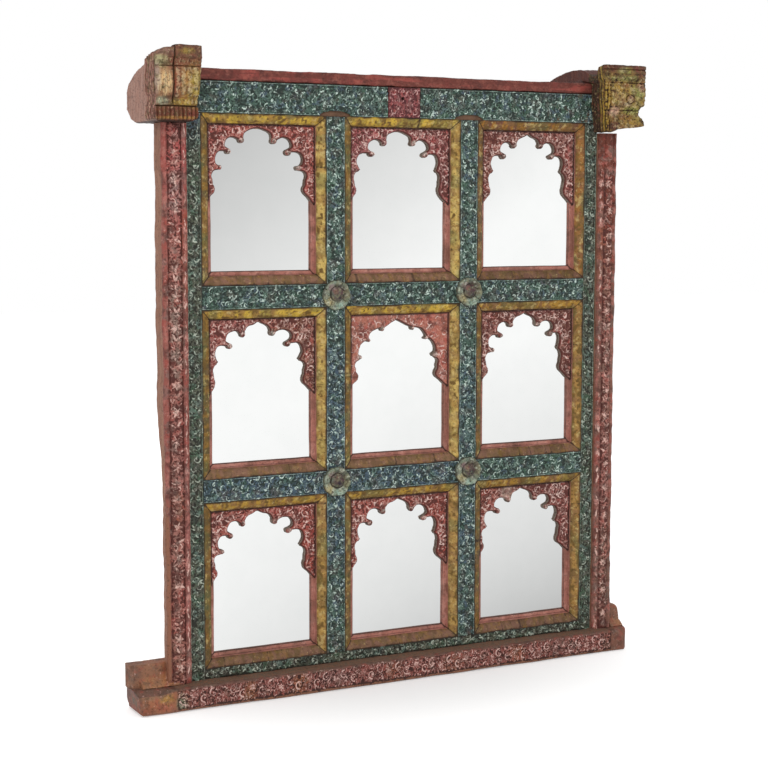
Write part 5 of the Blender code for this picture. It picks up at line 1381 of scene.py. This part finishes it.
def make_camera():
    """The camera of the photo, as solved on the panes' corners: turned to the right by its yaw,
    down by its pitch and round its own axis by its roll."""
    yaw, pitch, roll = (math.radians(a) for a in CAMERA_TURNS)
    right = np.array([math.cos(yaw), -math.sin(yaw), 0])
    ahead = np.array([math.sin(yaw), math.cos(yaw), 0])
    up = np.array([0, 0, 1.0])
    forward = ahead * math.cos(pitch) - up * math.sin(pitch)
    up = ahead * math.sin(pitch) + up * math.cos(pitch)
    across = right * math.cos(roll) + up * math.sin(roll)
    up = -right * math.sin(roll) + up * math.cos(roll)
    data = bpy.data.cameras.new("photo_camera")
    camera = bpy.data.objects.new("photo_camera", data)
    bpy.context.scene.collection.objects.link(camera)
    rows = [[across[i], up[i], -forward[i], CAMERA_PLACE[i]] for i in range(3)]
    camera.matrix_world = Matrix(rows + [[0, 0, 0, 1]])
    data.sensor_width = 36
    data.lens = CAMERA_LENS
    data.clip_start = 0.05
    data.clip_end = 60
    bpy.context.scene.camera = camera


# The floor's grey as a mirror sees it, a glow for mirror rays only that paints the reflections in
# the panes: a level, how it changes along x, and two terms that grow towards a line behind the
# object, the second along x too
FALL_LEVEL = 1.072
FALL_ALONG = 0.011
FALL_NEAR = -0.152
FALL_SLANT = -0.181
FALL_LINE = 0.5


def softened(tree, value, darkest):
    """A grey kept from its darkest to 0.995, turned to linear by the power 2.2."""
    return worked(tree, value, ("MAXIMUM", darkest), ("MINIMUM", 0.995), ("POWER", 2.2))


def ray_shares(tree):
    """1 where the camera sees a thing itself or through glass, and 1 where a mirror shows it."""
    direct, through, glossy = (add(tree, "LightPath", out="Is %s Ray" % kind)
                               for kind in ("Camera", "Transmission", "Glossy"))
    return worked(tree, direct, ("MAXIMUM", through)), glossy


def make_floor():
    """A pale floor that keeps the object's shadow and is as bright as the backdrop: its own glow
    grows from 0.26 to 0.52 with the distance from the object, so the dimmer glow near it is painted
    shade round the object."""
    reach, level = 12.0, -0.0005
    corners = [(x * reach, y * reach, level) for x, y in ((-1, -1), (1, -1), (1, 1), (-1, 1))]
    mesh = bpy.data.meshes.new("studio_floor")
    mesh.from_pydata(corners, [], [(0, 1, 2, 3)])
    floor = bpy.data.objects.new("studio_floor", mesh)
    bpy.context.scene.collection.objects.link(floor)
    material, tree, place = new_material("matt_white_floor")
    seen, glossy = ray_shares(tree)
    x, y = (add(tree, "SeparateXYZ", (place,), axis) for axis in "XY")
    beside = worked(tree, x, ("DIVIDE", 1.7))
    beside = worked(tree, beside, ("MULTIPLY", beside))
    apart = worked(tree, y, ("MULTIPLY", y), ("ADD", beside), ("SQRT", 0))
    # The glow is lower near the object: painted shade on the floor round it.
    glow_with_painted_shade = add(tree, "MapRange", (apart, 0.07, 0.50, 0.26, 0.52), interpolation_type="SMOOTHSTEP")
    away = add(tree, "Math", (FALL_LINE, y), operation="SUBTRACT")
    near = worked(tree, x, ("MULTIPLY", FALL_SLANT), ("ADD", FALL_NEAR), ("DIVIDE", away))
    grey = worked(tree, x, ("MULTIPLY", FALL_ALONG), ("ADD", FALL_LEVEL), ("ADD", near))
    surface = add(tree, "BsdfPrincipled", {
        "Base Color": (0.86, 0.86, 0.86, 1), "Roughness": 0.9, "Specular IOR Level": 0.0,
        "Emission Color": (1, 1, 1, 1), "Emission Strength": worked(tree, seen, ("MULTIPLY", glow_with_painted_shade))})
    # Mirrors see this glow instead of the lit floor: painted reflections in the panes.
    glow = add(tree, "Emission", {"Strength": softened(tree, grey, 0.7)})
    add(tree, "OutputMaterial", (add(tree, "MixShader", (glossy, surface, glow)),))
    mesh.materials.append(material)


def make_light():
    """A white backdrop, even light from all round, a grey that the mirrors show, brighter to the
    right and darker upwards, and three soft lamps that no mirror shows."""
    world = bpy.context.scene.world or bpy.data.worlds.new("studio")
    bpy.context.scene.world = world
    world.use_nodes = True
    tree = world.node_tree
    tree.nodes.clear()
    seen, glossy = ray_shares(tree)
    x, z = (add(tree, "SeparateXYZ", (add(tree, "TexCoord", out="Generated"),), axis) for axis in "XZ")
    higher = worked(tree, z, ("MULTIPLY", 1.22))
    grey = worked(tree, x, ("MULTIPLY", 1.10), ("ADD", 0.825 - 0.38 * 1.10), ("SUBTRACT", higher))
    even, shown, white = (add(tree, "Background", {"Color": (1, 1, 1, 1), "Strength": strength})
                          for strength in (0.62, softened(tree, grey, 0.72), 1.0))
    mixed = add(tree, "MixShader", (glossy, even, shown))
    add(tree, "OutputWorld", (add(tree, "MixShader", (seen, mixed, white)),))
    target = np.array((0, 0, 0.6))
    for name, place, size, power in (("key_softbox", (-2.6, -3.4, 3.2), 2.4, 75),
                                     ("fill_softbox", (3.2, -3.0, 1.8), 2.6, 30),
                                     ("back_softbox", (0.5, 3.4, 2.8), 2.6, 40)):
        data = bpy.data.lights.new(name, "AREA")
        data.shape = "SQUARE"
        data.size = size
        data.energy = power
        lamp = bpy.data.objects.new(name, data)
        bpy.context.scene.collection.objects.link(lamp)
        off = np.array(place) - target
        lamp.location = place
        lamp.rotation_euler = (math.atan2(math.hypot(off[0], off[1]), off[2]), 0, math.atan2(off[0], -off[1]))
        lamp.visible_glossy = False


# The whole mirror
make_camera()
make_light()
make_floor()
# Finishes of the solids that show as they are. The others are replaced by carved pieces
for node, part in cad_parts.items():
    part.data.materials.clear()
    for kind, finish in (("board", BOARD), ("batten", BATTEN), ("mirror", GLASS), ("", GREEN)):
        if kind in node:
            part.data.materials.append(finish)
            break
for index in range(PANE_COLUMNS - 1):
    make_muntin(index)
make_stile("left_stile", -1)
make_stile("right_stile", 1)
make_bottom_rail()
make_lintel()
make_tablet()
make_cap()
make_pilaster("left_pilaster", -1, LEFT_OUTER, "#9a564c", (
    (1.02, 0.036, 0.13, 0.030, "#ad5250", 0.85), (0.965, 0.030, 0.045, 0.020, "#8f7f7b", 0.7),
    (0.84, 0.046, 0.12, 0.009, "#a8523a", 0.8), (0.70, 0.028, 0.16, 0.022, "#7d7266", 0.75),
    (0.45, 0.030, 0.10, 0.030, "#86514a", 0.6), (0.28, 0.020, 0.20, 0.016, "#7a6055", 0.7),
    (0.20, 0.047, 0.20, 0.009, "#b5766f", 0.7), (0.35, 0.030, 0.03, 0.014, "#8f4c2c", 0.8),
    (0.05, 0.020, 0.05, 0.030, "#80604f", 0.7)))
make_pilaster("right_pilaster", 1, RIGHT_OUTER, "#855a4b", (
    (1.00, 0.026, 0.17, 0.036, "#6f3425", 0.97), (0.86, 0.040, 0.08, 0.010, "#a3624a", 0.7),
    (0.62, 0.026, 0.12, 0.020, "#7f6055", 0.7), (0.35, 0.026, 0.14, 0.022, "#8f5f58", 0.7),
    (0.12, 0.020, 0.10, 0.030, "#74594c", 0.7)))
make_sill()
make_horns()
for row in range(PANE_ROWS):
    for column in range(PANE_COLUMNS):
        if row < PANE_ROWS - 1:
            make_rail(row, column)
            if column < PANE_COLUMNS - 1:
                make_rosette(row, column)
        make_moulding(row, column)
        make_bracket(row, column, -1)
        make_bracket(row, column, 1)
make_capital("left_capital", -1, LEFT_BLOCK, left_capital_carving, 500, "#80503c",
             ("#a87d6e", "#7d4a40"), (
    (0.030, 0.132, 0.034, 0.014, "#6f4534", 0.9), (0.036, 0.131, 0.018, 0.006, "#9a803c", 0.85),
    (0.082, 0.132, 0.020, 0.012, "#8f6d5f", 0.9), (0.087, 0.110, 0.014, 0.014, "#b7b283", 0.9),
    (0.030, 0.109, 0.026, 0.007, "#8f5a40", 0.8), (0.080, 0.074, 0.017, 0.026, "#dfb882", 0.95),
    (0.094, 0.080, 0.007, 0.030, "#a89488", 0.8), (0.018, 0.066, 0.020, 0.038, "#a38a34", 0.95),
    (0.040, 0.070, 0.012, 0.030, "#b07f3a", 0.8), (0.055, 0.078, 0.008, 0.022, "#9c5039", 0.85),
    (0.082, 0.038, 0.015, 0.008, "#a9b598", 0.95), (0.040, 0.036, 0.024, 0.007, "#b89a3e", 0.9),
    (0.050, 0.012, 0.060, 0.014, "#74392d", 0.9), (0.050, 0.007, 0.050, 0.003, "#b4863f", 0.7)), LEFT_COATS)
make_capital("right_capital", 1, RIGHT_BLOCK, right_capital_carving, 501, "#8a6a35",
             ("#a98a3a", "#3f2c1e"), (
    (0.060, 0.136, 0.080, 0.013, "#5c3029", 0.95), (0.054, 0.130, 0.022, 0.008, "#99954c", 0.85),
    (0.060, 0.114, 0.060, 0.006, "#868a50", 0.85), (0.100, 0.120, 0.014, 0.012, "#7a3f33", 0.7),
    (0.060, 0.076, 0.070, 0.030, "#a68c45", 0.95), (0.045, 0.092, 0.024, 0.008, "#b08a3c", 0.8),
    (0.050, 0.066, 0.010, 0.014, "#8d6a4e", 0.7), (0.036, 0.080, 0.010, 0.012, "#93774a", 0.7),
    (0.088, 0.062, 0.012, 0.008, "#8a7a3e", 0.8), (0.060, 0.100, 0.014, 0.005, "#8b5a3c", 0.7),
    (0.045, 0.132, 0.010, 0.006, "#b7a77f", 0.6), (0.085, 0.134, 0.014, 0.005, "#7d3f36", 0.8),
    (0.060, 0.033, 0.012, 0.008, "#7c4a33", 0.7), (0.093, 0.030, 0.012, 0.010, "#8d8244", 0.8),
    (0.090, 0.088, 0.018, 0.016, "#949a55", 0.8), (0.070, 0.0715, 0.0095, 0.0095, "#80513f", 0.97),
    (0.064, 0.060, 0.010, 0.004, "#b9ad92", 0.7), (0.010, 0.050, 0.014, 0.060, "#ac8a34", 0.9),
    (0.031, 0.045, 0.015, 0.010, "#d6a892", 0.95), (0.078, 0.046, 0.022, 0.008, "#9aa24c", 0.85),
    (0.031, 0.014, 0.016, 0.010, "#5c2622", 0.95), (0.099, 0.097, 0.010, 0.010, "#b87f70", 0.8),
    (0.075, 0.024, 0.026, 0.010, "#a3833c", 0.85), (0.060, 0.004, 0.040, 0.005, "#4f3226", 0.8)), RIGHT_COATS)

bpy.context.scene.view_settings.view_transform = "Standard"
